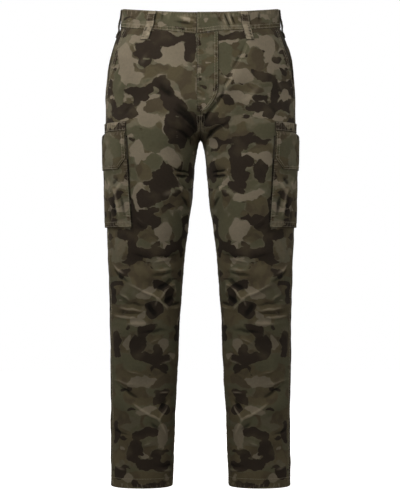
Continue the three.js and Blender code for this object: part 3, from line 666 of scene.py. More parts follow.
def print_cloth(piece, u, z, seed, charted=0, scale=1.0, more=None):
    """Gives a piece its part of the print: each tone's depth at each point, and the cloth's own
    measure. charted is the side whose chart is used, or 0, and more widens or narrows tones."""
    warp_u = u + 6 * ripple(u / 36, z / 36, 50) + 2.4 * ripple(u / 13, z / 13, 51)
    warp_z = z + 6 * ripple(u / 36, z / 36, 52) + 2.4 * ripple(u / 13, z / 13, 53)
    chart = {}
    if charted:
        chart = {t: charted_shapes(rows, charted, warp_u, warp_z) for t, rows in CHART.items()}
    for k, tone in enumerate(GROWTH):
        depth = grown_shapes(tone, warp_u, warp_z, seed * 10 + 3 * k, scale)
        depth = depth + (more or {}).get(tone, 0)
        if charted:
            others = [chart[other] for other in chart if other != tone]
            depth = np.minimum(depth, -np.maximum.reduce(others) - 1)
            depth = np.maximum(depth, chart[tone])
        note(piece, tone, depth)
    note(piece, "across", u)
    note(piece, "height", z)
    note(piece, "reverse", np.zeros_like(u), np.ones_like(u))


laid = {}


def lay_cloth(name, side, turn, z, out, thick, lift=0.0, rolled=1.0, unworn=0.0):
    """A piece of cloth over a grid of turns and heights: its face stands out of the legs' cloth by
    out and lift, and its edges roll over where rolled is 1. Unworn edges get no rubbed puckers."""
    side, turn, z, out, thick, lift = np.broadcast_arrays(
        side, turn, np.asarray(z, float), out, thick, lift
    )
    face, normal = on_cloth(side, turn, z, out)
    ends, sides = from_edges(face)
    edge = np.minimum(ends, sides)
    half = thick / 2
    drop = half - np.sqrt(np.maximum(half**2 - np.clip(half - edge, 0, half) ** 2, 0))
    drop = drop * rolled
    proud = (lift - drop)[..., None]
    behind = (lift - thick + drop)[..., None]
    laid[name] = (face + normal * proud, normal)
    piece = closed_wall(name, laid[name][0], face + normal * behind)
    note(piece, "from_side", ends)
    note(piece, "from_end", sides + unworn)
    return piece


def flat_cut(side, turn, z):
    """The flat width, length and area in square metres of a piece laid over a grid."""
    points = on_cloth(side, turn, z, 0)[0] * MM
    wide = np.linalg.norm(np.diff(points, axis=1), axis=2)
    tall = np.linalg.norm(np.diff(points, axis=0), axis=2)
    width, length = wide.sum(axis=1).max(), tall.sum(axis=0).max()
    cells = (wide[1:] + wide[:-1]) / 2 * (tall[:, 1:] + tall[:, :-1]) / 2
    return float(width), float(length), float(min(cells.sum(), width * length))


def declare(piece, node, cut):
    """Attaches a cloth piece to the root and hides the solid of the part it stands for. cut, the flat
    cut, is not used.
    """
    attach(piece, "root")
    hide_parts(node)


class Shade:
    """A socket of a material's node tree. Arithmetic on it adds Math nodes."""

    def __init__(self, tree, socket=None):
        self.tree = tree
        self.socket = socket

    def add(self, kind, settings=None, sockets=None, output=0):
        """Any other node: its type, its settings, the values or links of its sockets."""
        node = self.tree.nodes.new(kind)
        for name, value in (settings or {}).items():
            setattr(node, name, value)
        for name, value in (sockets or {}).items():
            if isinstance(value, Shade):
                self.tree.links.new(value.socket, node.inputs[name])
            else:
                node.inputs[name].default_value = value
        return Shade(self.tree, node.outputs[output] if node.outputs else None)

    def figure(self, operation, *values):
        return self.add("ShaderNodeMath", {"operation": operation}, dict(enumerate(values)))

    def __add__(self, other):
        return self.figure("ADD", self, other)

    def __sub__(self, other):
        return self.figure("SUBTRACT", self, other)

    def __rsub__(self, other):
        return self.figure("SUBTRACT", other, self)

    def __mul__(self, other):
        return self.figure("MULTIPLY", self, other)

    def __truediv__(self, other):
        return self.figure("DIVIDE", self, other)

    __radd__ = __add__
    __rmul__ = __mul__

    def between(self, low, high):
        """A soft step from 0 at low to 1 at high."""
        settings = {"interpolation_type": "SMOOTHSTEP"}
        return self.add("ShaderNodeMapRange", settings, {0: self, 1: low, 2: high, 3: 0.0, 4: 1.0})

    def field(self, name):
        return self.add("ShaderNodeAttribute", {"attribute_name": name}, output="Fac")

    def grain(self, place, scale, detail=2.0, distortion=0.0):
        sockets = {"Vector": place, "Scale": scale, "Detail": detail, "Distortion": distortion}
        return self.add("ShaderNodeTexNoise", {}, sockets)

    def blend(self, factor, first, second):
        """A colour between two others."""
        return self.add("ShaderNodeMix", {"data_type": "RGBA"}, {0: factor, 6: first, 7: second}, 2)

    def times(self, colour, factor):
        """A colour made lighter or darker."""
        scaled = {"Vector": colour, "Scale": factor}
        return self.add("ShaderNodeVectorMath", {"operation": "SCALE"}, scaled)


def dye(red, green, blue):
    return (red, green, blue, 1.0)


GROUND_DYE = dye(0.232, 0.198, 0.134)
GREY_DYE = dye(0.205, 0.188, 0.128)
TAN_DYE = dye(0.318, 0.270, 0.200)
OLIVE_DYE = dye(0.140, 0.114, 0.066)
BROWN_DYE = dye(0.108, 0.084, 0.053)
GREEN_DYE = dye(0.130, 0.123, 0.074)
DARK_DYE = dye(0.045, 0.033, 0.024)
REVERSE_DYE = dye(0.235, 0.212, 0.152)
LOW_DYE = dye(0.140, 0.120, 0.078)
LOW_TAN_DYE = dye(0.225, 0.190, 0.135)


# light makes a whole piece lighter or darker, painted light; rim sets how dark the painted shade
# along a piece's edges is.
def printed_twill(name, light=1.0, pucker=1.0, rim=0.5):
    """Printed cotton twill: crisp dark and tan blots over soft greens, rubbed paler at the seams,
    with painted highlights on the ridges and painted shade in the folds and along the edges, a
    diagonal weave and fine crumples."""
    material = bpy.data.materials.new(name)
    material.use_nodes = True
    material.node_tree.nodes.clear()
    cloth = Shade(material.node_tree)
    u, z = cloth.field("across"), cloth.field("height")
    place = cloth.add("ShaderNodeCombineXYZ", {}, {"X": u, "Y": z})
    clouds = cloth.grain(place, 1 / 60)
    patches = cloth.grain(place, 1 / 34, 1.0, 0.6)
    fray = (cloth.grain(place, 1 / 4.2, 1.0) - 0.5) * 2.2
    fibres = cloth.grain(place, 1.1, 1.0)

    colour = cloth.blend(patches.between(0.42, 0.58), GROUND_DYE, GREY_DYE)
    low = 1 - z.between(-640, -470)
    colour = cloth.blend(low * 0.75, colour, LOW_DYE)
    green = (cloth.field("green") + fray * 2).between(-4, 4)
    colour = cloth.blend(green * 0.9, colour, GREEN_DYE)
    earth = cloth.blend(patches.between(0.46, 0.6), OLIVE_DYE, BROWN_DYE)
    olive = (cloth.field("olive") + fray).between(-1.6, 1.6)
    colour = cloth.blend(olive * 0.95, colour, earth)
    tan = (cloth.field("tan") + fray).between(-0.8, 0.8)
    sand = cloth.blend(low * 0.7, TAN_DYE, LOW_TAN_DYE)
    colour = cloth.blend(tan, colour, sand)
    dark = (cloth.field("dark") + fray).between(-0.7, 0.7)
    warm = clouds.between(0.5, 0.68)
    colour = cloth.blend(dark, colour, cloth.blend(warm * 0.5, DARK_DYE, BROWN_DYE))

    side, end = cloth.field("from_side"), cloth.field("from_end")
    stretched = {"Vector": place, "Location": (0, 0, 0), "Scale": (1.0, 0.3, 1.0)}
    along_end = cloth.grain(cloth.add("ShaderNodeMapping", {}, stretched), 1 / 4.6, 1.5)
    stretched["Scale"] = (0.3, 1.0, 1.0)
    along_side = cloth.grain(cloth.add("ShaderNodeMapping", {}, stretched), 1 / 4.6, 1.5)
    by_end, by_side = 1 - end.between(8, 14), 1 - side.between(7, 12)
    waves = (along_end - 0.5) * by_end + (along_side - 0.5) * by_side
    rubbed = (waves.between(0.0, 0.16) * 0.34 + (1 - end.between(0.4, 2.2)) * 0.12
              + (1 - side.between(0.4, 2.2)) * 0.12)
    # relief_shading and crest carry the heights of the folds and creases, which below are painted as
    # highlights on the ridges and shade in the hollows.
    relief_shading, crest = cloth.field("relief_shading"), cloth.field("crest")
    # gap: painted shade in the narrow seams along the piece's edges.
    gap = (1 - end.between(0.2, 1.3)) + (1 - side.between(0.2, 1.3))
    # crease_highlight and valley: the sharp creases' crests painted light and their troughs painted
    # dark.
    crease_highlight, valley = crest.between(0.22, 0.9), (0 - crest).between(0.12, 0.7)
    faded = cloth.grain(place, 1 / 5.5, 3.0)
    tone = 0.84 + clouds * 0.24 + (fibres - 0.5) * 0.14 + (faded - 0.5) * 0.3
    tone = tone + relief_shading * 0.2 + crease_highlight * 0.36 - valley * 0.58
    # Lighter towards the hems: painted light.
    tone = tone + (1 - z.between(-1000, -840)) * 0.12
    # waves also paint the puckers by the seams lighter and darker, a painted highlight and shade.
    tone = (tone + waves * 0.8) * (1 - gap.between(0, 1) * rim) * light
    colour = cloth.blend(rubbed * pucker, colour, TAN_DYE)
    # Crease crests painted paler towards tan: a painted highlight.
    colour = cloth.blend(crease_highlight * 0.5, colour, TAN_DYE)
    colour = cloth.blend(cloth.field("reverse") * 0.8, colour, REVERSE_DYE)
    colour = cloth.times(colour, tone)

    weave = cloth.figure("SINE", (u + z * 1.7) * (2 * math.pi / 1.5)) * 0.03
    crumple = (cloth.grain(place, 1 / 15, 3.0, 0.4) - 0.5) * 0.9
    height = weave + crumple + waves * 1.5 * pucker + (fibres - 0.5) * 0.12
    bump = cloth.add("ShaderNodeBump", {}, {"Height": height, "Distance": MM, "Strength": 1.0})
    finish = cloth.add("ShaderNodeBsdfPrincipled", {}, {
        "Base Color": colour,
        "Roughness": 0.86 + fibres * 0.12,
        "Normal": bump,
        "Specular IOR Level": 0.2,
        "Sheen Weight": 0.04,
        "Sheen Roughness": 0.6,
    })
    cloth.add("ShaderNodeOutputMaterial", {}, {"Surface": finish})
    return material


leg_twill = printed_twill("camo_twill")
STITCH_PITCH = 3.5
STITCH = table(
    "share depth radius", (-0.5, -0.3, 0.2), (-0.3, 0.26, 0.46), (0.3, 0.26, 0.46), (0.5, -0.3, 0.2)
)
STITCH_LENGTH = 2.7
STITCH_SIDES = 4


def row_inside(name, edge, inset, above=None, below=None, trim=0.0):
    """A line across a laid piece's face at a distance inside its start, end, top or bottom edge,
    between two heights, and the way out along it."""
    face, normal = laid[name]
    if edge in ("start", "end"):
        face, normal = face.swapaxes(0, 1), normal.swapaxes(0, 1)
    if edge in ("end", "bottom"):
        face, normal = face[::-1], normal[::-1]
    run = np.linalg.norm(np.diff(face, axis=0), axis=2).cumsum(axis=0)
    i = (run < inset).sum(axis=0)
    columns = np.arange(face.shape[1])
    before = np.where(i > 0, run[np.maximum(i - 1, 0), columns], 0)
    share = ((inset - before) / (run[i, columns] - before))[:, None]
    points = face[i, columns] * (1 - share) + face[i + 1, columns] * share
    ways = normal[i, columns] * (1 - share) + normal[i + 1, columns] * share
    along_row = np.concatenate([[0], np.linalg.norm(np.diff(points, axis=0), axis=1).cumsum()])
    kept = (along_row >= trim) & (along_row <= along_row[-1] - trim)
    if above is not None:
        kept &= points[:, 2] > above
    if below is not None:
        kept &= points[:, 2] < below
    return points[kept], ways[kept]


def sew(name, rows, finish, pitch=STITCH_PITCH):
    """Rows of lockstitches: short lengths of thread that dip into the cloth at both ends."""
    rings = []
    shares, depths, radii = STITCH["share"], STITCH["depth"], STITCH["radius"]
    turns = 2 * math.pi * np.arange(STITCH_SIDES) / STITCH_SIDES
    for points, ways in rows:
        run = np.concatenate([[0], np.linalg.norm(np.diff(points, axis=0), axis=1).cumsum()])
        middles = np.arange(pitch / 2, run[-1] - pitch / 2, pitch)
        stations = middles[:, None] + shares * STITCH_LENGTH * pitch / STITCH_PITCH
        place = np.stack([np.interp(stations, run, points[:, k]) for k in range(3)], axis=-1)
        out = np.stack([np.interp(stations, run, ways[:, k]) for k in range(3)], axis=-1)
        along_thread = place[:, -1] - place[:, 0]
        aside = np.cross(along_thread[:, None], out)
        aside /= np.linalg.norm(aside, axis=-1, keepdims=True)
        centre = place + out * depths[:, None]
        ring = aside[:, :, None] * np.cos(turns)[:, None] + out[:, :, None] * np.sin(turns)[:, None]
        rings.append(centre[:, :, None] + ring * radii[:, None, None])
    rings = np.concatenate(rings)
    index = np.arange(rings[..., 0].size).reshape(rings.shape[:3])
    first, then = index[:, :-1], index[:, 1:]
    sides = [first, np.roll(first, -1, axis=2), np.roll(then, -1, axis=2), then]
    faces = [np.stack(sides, axis=-1).reshape(-1, 4), index[:, 0, ::-1], index[:, -1]]
    mesh = bpy.data.meshes.new(name)
    mesh.from_pydata((rings.reshape(-1, 3) * MM).tolist(), [], np.concatenate(faces).tolist())
    mesh.shade_smooth()
    mesh.materials.append(finish)
    thread = bpy.data.objects.new(name, mesh)
    bpy.context.scene.collection.objects.link(thread)
    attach(thread, "root")
    return thread


def spun_thread(name, colour):
    """Spun polyester thread, dull and a little uneven in tone."""
    material = bpy.data.materials.new(name)
    material.use_nodes = True
    material.node_tree.nodes.clear()
    thread = Shade(material.node_tree)
    place = thread.add("ShaderNodeTexCoord", output="Object")
    wear = thread.grain(place, 160.0, 2.0)
    twist = thread.grain(place, 2400.0, 1.0)
    finish = thread.add("ShaderNodeBsdfPrincipled", {}, {
        "Base Color": thread.times(colour, 0.72 + wear * 0.5 + (twist - 0.5) * 0.25),
        "Roughness": 0.7 + twist * 0.2,
        "Specular IOR Level": 0.3,
    })
    thread.add("ShaderNodeOutputMaterial", {}, {"Surface": finish})
    return material


khaki_thread = spun_thread("khaki_thread", (0.42, 0.37, 0.27))
SEAM_ROWS = (2.4, 8.4)
CENTRE_ROWS_END = -240
BAND_SIDE_HEIGHT = 41
DIP_END_Z = -170
FRONT_DIP = 19
BACK_RISE = 5
LEG_CLOTH = 240
CREST_FULL = 3.3
DIP_CURVE = 1.5
BAND_REFERENCE_Z = -30
BAND_HEIGHT = table(
    "x height", (-100, 41), (-50, 43.5), (-8, 46.5), (15, 43.6), (42, 40.5), (90, 41)
)


def band_top(turn):
    share = np.abs(np.sin(turn)) ** DIP_CURVE
    return np.where(turn > 0, -FRONT_DIP * share, BACK_RISE * share)


def band_bottom(side, turn):
    height = along(BAND_HEIGHT, "height", base_point(turn, BAND_REFERENCE_Z)[..., 0] * side)
    return band_top(turn) - np.where(turn > 0, height, BAND_SIDE_HEIGHT)


def level_row(side, turn, level):
    """Rows follow the waistband's lower edge at the top and grow level further down."""
    settle = smooth(level, DIP_END_Z, -BAND_SIDE_HEIGHT)
    edge = band_bottom(side, np.minimum(turn, math.pi / 2)) - BAND_SEAM_GAP
    return level + (edge + BAND_SIDE_HEIGHT) * settle


def make_leg(side, is_front):
    name = f"{'front' if is_front else 'back'}_{'left' if side > 0 else 'right'}"
    tall = -BAND_SIDE_HEIGHT - HEM_Z
    level = -BAND_SIDE_HEIGHT - tall * spread(int(tall / STEP), tall, CLOTH)[:, None]
    s = section(level)
    gap_turn = LEG_SEAM_GAP / 2 / s["front"]
    slash = np.where(level > SLASH_END_Z, np.radians(along(SLASH, "turn", level)), side_seam(level))
    inner = np.where(s["joined"], s["inner_turn"], s["inner_turn"] - gap_turn)
    start = slash + gap_turn if is_front else side_seam(level) - gap_turn
    end = inner if is_front else -inner
    turn = start + (end - start) * spread(int(LEG_CLOTH / STEP), LEG_CLOTH, CLOTH)[None, :]
    z = level_row(side, turn, level)
    thick = CLOTH + (HEM_CLOTH - CLOTH) * smooth(-level, -HEM_Z - HEM_DEPTH - 1.5, -HEM_Z - HEM_DEPTH)
    at_centre_seam = (z > CROTCH_Z - 4) & (base_point(turn, z)[..., 0] < 20)
    under_band = level > -BAND_SIDE_HEIGHT - 3
    rolled = np.where(at_centre_seam | under_band, 0, 1)
    unworn = 40 * smooth(z, -120, -60)
    leg = lay_cloth(f"leg_{name}", side, turn, z, 0, thick, rolled=rolled, unworn=unworn)
    calm = smooth(-z, 490, 620)
    thigh = smooth(-z, 230, 300) * (1 - calm)
    more = {"green": 5 * calm + 3 * thigh, "olive": 4 * calm, "tan": -9 * calm - 4 * thigh,
            "dark": (-5 if is_front else 2.5) * calm + 1.5 * thigh}
    seed, chart = (2, side) if is_front else (5 + side, 0)
    print_cloth(leg, across(turn, z), z, seed, chart, more=more)
    # relief_shading and crest carry the folds' and sharp creases' heights: the material paints their
    # ridges light and their hollows dark.
    note(leg, "relief_shading", np.clip(relief(side, turn, z) / 4, -1, 1))
    free = 1 - covered(turn, z)
    # seam_shade_dots: painted shade, dark dots between the side seam's puckers, written into crest.
    away = np.abs(across(turn, z) - across(side_seam(z), z))
    seam_shade_dots = (0.5 + 0.9 * ripple(z / 5.5, away / 40, 24)) * np.exp(-(((away - 1.5) / 3.2) ** 2))
    seam_shade_dots = np.clip(seam_shade_dots, 0, 1) * free * (level < SLASH_END_Z)
    crest = np.clip(sharp_relief(side, turn, z) * free / CREST_FULL, -1, 1)
    note(leg, "crest", np.minimum(crest, 1 - seam_shade_dots) - seam_shade_dots * (crest <= 1 - seam_shade_dots))
    leg.data.materials.append(leg_twill)
    declare(leg, name, flat_cut(side, turn, z))


for side in (-1, 1):
    make_leg(side, True)
    make_leg(side, False)


def sew_leg(end):
    """Twin rows down the slash, the side seam, the inseam and the seat, and one round the hem."""
    front, back = f"leg_front_{end}", f"leg_back_{end}"
    rows = []
    for inset in SEAM_ROWS:
        rows.append(row_inside(front, "start", inset, above=POCKET_BAND_TOP_Z, trim=2))
        rows.append(row_inside(front, "start", inset, below=POCKET_BOTTOM_Z - 3, trim=2))
        rows.append(row_inside(front, "end", inset, below=CENTRE_ROWS_END, trim=2))
        rows.append(row_inside(back, "end", inset, above=CROTCH_Z, trim=2))
    for piece in (front, back):
        rows.append(row_inside(piece, "bottom", HEM_DEPTH - 2, trim=2))
    sew(f"stitching_leg_{end}", rows, khaki_thread)


for end in ("right", "left"):
    sew_leg(end)

# Pocket facings: strips of the same twill that show behind the slash openings at the hips, sewn to
# the pocket bags inside.
FACING_REACH = math.radians(5)
FACING_DEPTH = 2.1


def make_facing(side):
    name = f"pocket_facing_{'left' if side > 0 else 'right'}"
    bottom = SLASH_END_Z - 6
    tall = -BAND_SIDE_HEIGHT - bottom
    level = -BAND_SIDE_HEIGHT - tall * spread(int(tall / STEP), tall, CLOTH)[:, None]
    start = side_seam(level)
    end = np.radians(along(SLASH, "turn", level)) + FACING_REACH
    turn = start + (end - start) * spread(14, 45, CLOTH)[None, :]
    z = level_row(side, turn, level)
    facing = lay_cloth(name + "_cloth", side, turn, z, -FACING_DEPTH, CLOTH)
    print_cloth(facing, across(turn, z), z, 8 + side)
    note(facing, "relief_shading", np.zeros_like(turn))
    facing.data.materials.append(leg_twill)
    declare(facing, name, flat_cut(side, turn, z))


for side in (-1, 1):
    make_facing(side)

# Waistband: two halves of folded twill, the wearer's left one ending in a thick overlap tab at the
# front. Two rows of stitches draw its lower edge up into short puckers.
BAND_PROUD = 1.2
BAND_CLOTH = 2.6
TAB_EDGE_X = -8
TAB_ROOT_X = 38
TAB_PROUD = 2.2
BAND_COLUMNS = 500
BAND_GIRTH = 560
BAND_ROWS = 22
# Creases across the band: distance from the centre plane, height in the middle, lean and depth
BAND_CREASES = table(
    "side x z lean run width height",
    (1, 57, -37, -66, 36, 2.4, -1.6), (1, 63, -34, -68, 28, 2.4, 1.2),
    (1, 69, -34, -66, 28, 2.4, -1.4), (1, 51, -40, -64, 22, 2.2, 1.0),
    (1, 43, -36, -50, 18, 3.0, -0.8), (-1, 30, -34, -14, 40, 4.5, 1.3),
    (-1, 34, -42, -10, 44, 4.0, -1.0), (-1, 68, -26, 80, 26, 4.5, 0.8),
    (-1, 82, -24, 84, 26, 3.4, -0.8), (-1, 114, -26, 78, 28, 3.2, 0.6),
    (1, 126, -24, 86, 24, 3.4, -0.9), (-1, 150, -22, 80, 22, 4.0, 0.7),
)


def band_waves(signed_x, turn, z, top, bottom):
    """Puckers along the band's sewn lower edge, and the creases that cross it."""
    u = np.sign(signed_x) * across(np.minimum(np.abs(turn), math.pi / 2) * np.sign(turn), z)
    near = 1 - smooth(z - bottom, 6, 17)
    height = 0.42 * near * (ripple(u / 8.4, z / 60, 31) + 0.6 * ripple(u / 4.4, z / 40, 32))
    drawn = smooth(signed_x, -104, -92) * (1 - smooth(signed_x, -14, -6)) * (turn > 0)
    ladder = np.sin(2 * math.pi * (u / 4.6 + 0.4 * ripple(u / 30, z / 50, 34)))
    height += 0.5 * (1 - smooth(z - bottom, 9, 12)) * drawn * ladder
    height += 0.35 * ripple(u / 46, z / 26, 33)
    for row in each_row(BAND_CREASES):
        lean = math.radians(row["lean"])
        run_x, run_z = row["run"] * math.cos(lean), row["run"] * math.sin(lean)
        start_x = row["x"] * row["side"] - run_x / 2
        bump = line_bump(signed_x - start_x, z - row["z"] + run_z / 2, run_x, run_z, row["width"])
        height += row["height"] * bump * (turn > 0)
    return height * smooth(top - z, 0, 3)


def make_band(side):
    name = f"waistband_{'left' if side > 0 else 'right'}"
    edge = float(turn_at_x(abs(TAB_EDGE_X), BAND_REFERENCE_Z))
    past_centre = math.pi - edge if side > 0 else edge
    gap_turn = SEAM_GAP / (2 * float(section(BAND_REFERENCE_Z)["half_width"]))
    root = float(turn_at_x(TAB_ROOT_X, BAND_REFERENCE_Z))
    start, end = -math.pi / 2, past_centre - gap_turn
    turn = start + (end - start) * spread(BAND_COLUMNS, BAND_GIRTH, BAND_CLOTH)[None, :]
    folded = np.where(turn > math.pi / 2, math.pi - turn, turn)
    half = np.where(turn > math.pi / 2, -side, side)
    top, bottom = band_top(folded), band_bottom(half, folded)
    z = top + (bottom - top) * spread(BAND_ROWS, BAND_SIDE_HEIGHT, BAND_CLOTH)[:, None]
    turn = turn + np.zeros_like(z)
    tab = smooth(turn, root - 0.03, root + 0.03) if side > 0 else np.zeros_like(turn)
    signed_x = base_point(folded, z)[..., 0] * half
    waves = band_waves(signed_x, folded, z, top, bottom)
    face = BAND_PROUD + TAB_PROUD * tab
    band = lay_cloth(name + "_cloth", side, turn, z, face, BAND_CLOTH, lift=waves)
    more = {"green": 4, "tan": -3, "dark": -6}
    print_cloth(band, side * across(folded, z) + 260, z - 210, 13, more=more)
    # relief_shading and crest carry the puckers' and creases' heights, which the material paints
    # light on their crests and dark in their hollows.
    note(band, "relief_shading", np.clip(waves, -1, 1))
    note(band, "crest", np.clip(waves * 0.62, -1, 1) * (np.abs(waves) > 0.2))
    band.data.materials.append(band_twill)
    declare(band, name, flat_cut(side, turn, z))


def sew_band(end):
    """Twin rows along the lower edge, one along the top and one round the tab."""
    band = f"waistband_{end}_cloth"
    rows = [row_inside(band, "bottom", inset, trim=3) for inset in (3.2, 10)]
    rows.append(row_inside(band, "top", 3, trim=3))
    if end == "left":
        rows.append(row_inside(band, "end", 3, trim=3))
    sew(f"stitching_band_{end}", rows, khaki_thread)


band_twill = printed_twill("waistband_twill", light=1.0, pucker=1.1, rim=0.7)
for side in (-1, 1):
    make_band(side)
for end in ("right", "left"):
    sew_band(end)

# Fly placket: a strip on the wearer's left with a straight fold at the centre front. Two rows of
# stitches follow its J-shaped outer seam down to the crotch.
PLACKET_TOP_GAP = 1
FOLD_LIFT = 0.9
PLACKET_WIDTH = 46
PLACKET_STRAIGHT_Z = -176
PLACKET_END_Z = -232


def placket_width(level):
    share = np.clip((PLACKET_STRAIGHT_Z - level) / (PLACKET_STRAIGHT_Z - PLACKET_END_Z), 0, 1)
    return PLACKET_WIDTH * np.sqrt(np.maximum(1 - share**2, 0.04))


def placket_z(x, level):
    """The placket's top edge follows the waistband's."""
    half = np.where(x < 0, -1, 1)
    settle = smooth(level, DIP_END_Z, -BAND_SIDE_HEIGHT)
    at_band = turn_at_x(np.abs(x), BAND_REFERENCE_Z)
    edge = band_bottom(half, at_band) - PLACKET_TOP_GAP
    return level + (edge + BAND_SIDE_HEIGHT) * settle


def make_placket():
    down = np.sin(math.pi / 2 * spread(56, 190, CLOTH))[:, None]
    level = -BAND_SIDE_HEIGHT + (PLACKET_END_Z + BAND_SIDE_HEIGHT) * down
    x = TAB_EDGE_X + placket_width(level) * spread(18, PLACKET_WIDTH, CLOTH)[None, :]
    z = placket_z(x, level)
    turn = turn_at_x(np.abs(x), z)
    side = np.where(x < 0, -1, 1)
    waves = 0.4 * ripple(x / 16, z / 9, 35) * smooth(x, 8, 26) + 0.3 * ripple(x / 24, z / 20, 36)
    past_fold = x - TAB_EDGE_X
    lift = (waves + 0.5) * smooth(past_fold, 0, 6) + FOLD_LIFT * (1 - smooth(past_fold, 1, 7))
    placket = lay_cloth("fly_placket_cloth", side, turn, z, LYING_GAP + CLOTH, CLOTH, lift=lift)
    more = {"green": 5, "tan": -3.5, "dark": -1}
    print_cloth(placket, x + 40, z - 30, 17, scale=0.6, more=more)
    # relief_shading: the placket's waves, painted lighter and darker by its material.
    note(placket, "relief_shading", np.clip(waves, -1, 1))
    placket.data.materials.append(placket_twill)
    declare(placket, "fly_placket", flat_cut(side, turn, z))


def sew_placket():
    """Twin rows down the J-shaped seam, and one beside the fold."""
    rows = [row_inside("fly_placket_cloth", "end", inset, trim=2) for inset in SEAM_ROWS]
    rows.append(row_inside("fly_placket_cloth", "start", 3, above=PLACKET_STRAIGHT_Z, trim=2))
    sew("stitching_fly", rows, khaki_thread)


# The placket is painted a touch darker (light 0.98).
placket_twill = printed_twill("placket_twill", light=0.98, pucker=0.8, rim=0.8)
make_placket()
sew_placket()

# Belt loops: narrow folded strips of twill, paler in their print and painted lighter still, sewn
# down at both ends with bartacks and standing off the waistband between them.
LOOP_WIDTH = 18.5
LOOP_CLOTH = 2.2
LOOP_TOP_DROP = 1
LOOP_LENGTH = 62
LOOPS = {
    "belt_loop_front_right": {"side": -1, "top": 54.5, "bottom": 52},
    "belt_loop_front_left": {"side": 1, "top": 58.5, "bottom": 57},
    "belt_loop_side_right": {"side": -1, "top": -2, "bottom": -2},
    "belt_loop_side_left": {"side": 1, "top": -2, "bottom": -2},
    "belt_loop_back": {"side": 1, "top": -90, "bottom": -90},
}
LOOP_PATH = table(
    "down standoff",
    (0, 1.7), (0.08, 2.2), (0.2, 4.4), (0.32, 4.6), (0.44, 2.5), (0.68, 2.7), (0.76, 1.5), (1, 0.6),
)
LOOP_PATH_SIDE = table(
    "down standoff",
    (0, 1.7), (0.1, 1.9), (0.3, 2.3), (0.44, 3.8), (0.6, 4.4), (0.7, 3.1), (0.8, 1.5), (1, 0.6),
)
# Loops are painted lighter than the band (light 1.22), a painted highlight.
loop_twill = printed_twill("loop_twill", light=1.22, pucker=0.8, rim=0.8)


def loop_place(loop, down, offset):
    """Turn and height of a point on a loop: its share of the way down and its offset sideways."""
    centre = np.radians(loop["top"] + (loop["bottom"] - loop["top"]) * down)
    z = band_top(np.radians(loop["top"])) - LOOP_TOP_DROP - LOOP_LENGTH * down
    step = 0.01
    rate = np.linalg.norm(base_point(centre + step, z) - base_point(centre - step, z), axis=-1)
    return centre + offset / (rate / (2 * step)), z


def make_loop(name, loop, seed):
    down = spread(56, LOOP_LENGTH, LOOP_CLOTH)[:, None]
    offset = LOOP_WIDTH * (spread(16, LOOP_WIDTH, LOOP_CLOTH) - 0.5)[None, :]
    turn, z = loop_place(loop, down, offset)
    z = z + np.zeros_like(turn)
    path = LOOP_PATH_SIDE if "side" in name else LOOP_PATH
    out = along(path, "standoff", down) + LOOP_CLOTH + np.zeros_like(turn)
    channel = 0.3 * np.exp(-((offset / 3.5) ** 2)) * smooth(down, 0.05, 0.2)
    crumple = 0.55 * ripple(offset / 9 + 7 * seed, down * LOOP_LENGTH / 5.5, 81)
    channel = channel + crumple * smooth(down, 0.3, 0.5) * (1 - smooth(down, 0.93, 1))
    bar = 0.5 * (np.exp(-(((down - 0.46) / 0.03) ** 2)) + np.exp(-(((down - 0.8) / 0.03) ** 2)))
    piece = lay_cloth(name + "_cloth", loop["side"], turn, z, out, LOOP_CLOTH, lift=channel - bar)
    u = offset + 90 * seed + np.zeros_like(z)
    # Mostly tan print; the dark band across the loop's upper bulge is painted shade.
    more = {"tan": 26, "dark": -60 + 84 * smooth(down, 0.08, 0.14) * (1 - smooth(down, 0.34, 0.42))}
    print_cloth(piece, u, z - 33 * seed, 19 + seed, more=more)
    # The loop's channel, bartacks and crumples, which the material paints as highlights and shade.
    note(piece, "relief_shading", np.clip(channel - bar + np.zeros_like(turn), -1, 1))
    note(piece, "crest", np.clip(2.4 * crumple + 0 * turn, -1, 1) * smooth(down, 0.3, 0.5))
    piece.data.materials.append(loop_twill)
    declare(piece, name, flat_cut(loop["side"], turn, z))


BARTACK_PITCH = 1.4
BARTACK_ROWS = (0, 0.7, 1.4)
LOOP_BARTACKS = (3, 26, 57)


def sew_loop(name):
    """Two rows down a loop, and bartacks across it."""
    rows = [row_inside(name + "_cloth", edge, 3, trim=3) for edge in ("start", "end")]
    sew(f"stitching_{name}", rows, khaki_thread)
    bars = [
        row_inside(name + "_cloth", "top", down + step, trim=1.5)
        for down in LOOP_BARTACKS for step in BARTACK_ROWS
    ]
    sew(f"bartacks_{name}", bars, khaki_thread, pitch=BARTACK_PITCH)


for seed, (name, loop) in enumerate(LOOPS.items()):
    make_loop(name, loop, seed)
    sew_loop(name)

# Cargo pockets: on each leg a pouch over the side seam, a gusset strip under its edges that lets it
# stand off, painted dark as the shade beneath the pouch, and above them a flap that folds down from a
# stitched band.
POCKET_BULGE = 0.9
POUCH_PUFF = 0.8
GUSSET_WIDTH = 9
GUSSET_CLOTH = 2.1
GUSSET_PROUD = 2.1
POCKET_STANDOFF = LYING_GAP + GUSSET_CLOTH + SEAM_GAP
FLAP_TOP_Z = -273
FLAP_BOTTOM_Z = -355
FLAP_EDGE = table("z across", (FLAP_TOP_Z, 84), (-332, 83), (FLAP_BOTTOM_Z, 64))
FLAP_ROLL = 8
FLAP_AIR = 0.5
FLAP_PUFF = 0.6
POCKET_BAND_BOTTOM_Z = FLAP_TOP_Z + SEAM_GAP
POCKET_COLUMNS = 62
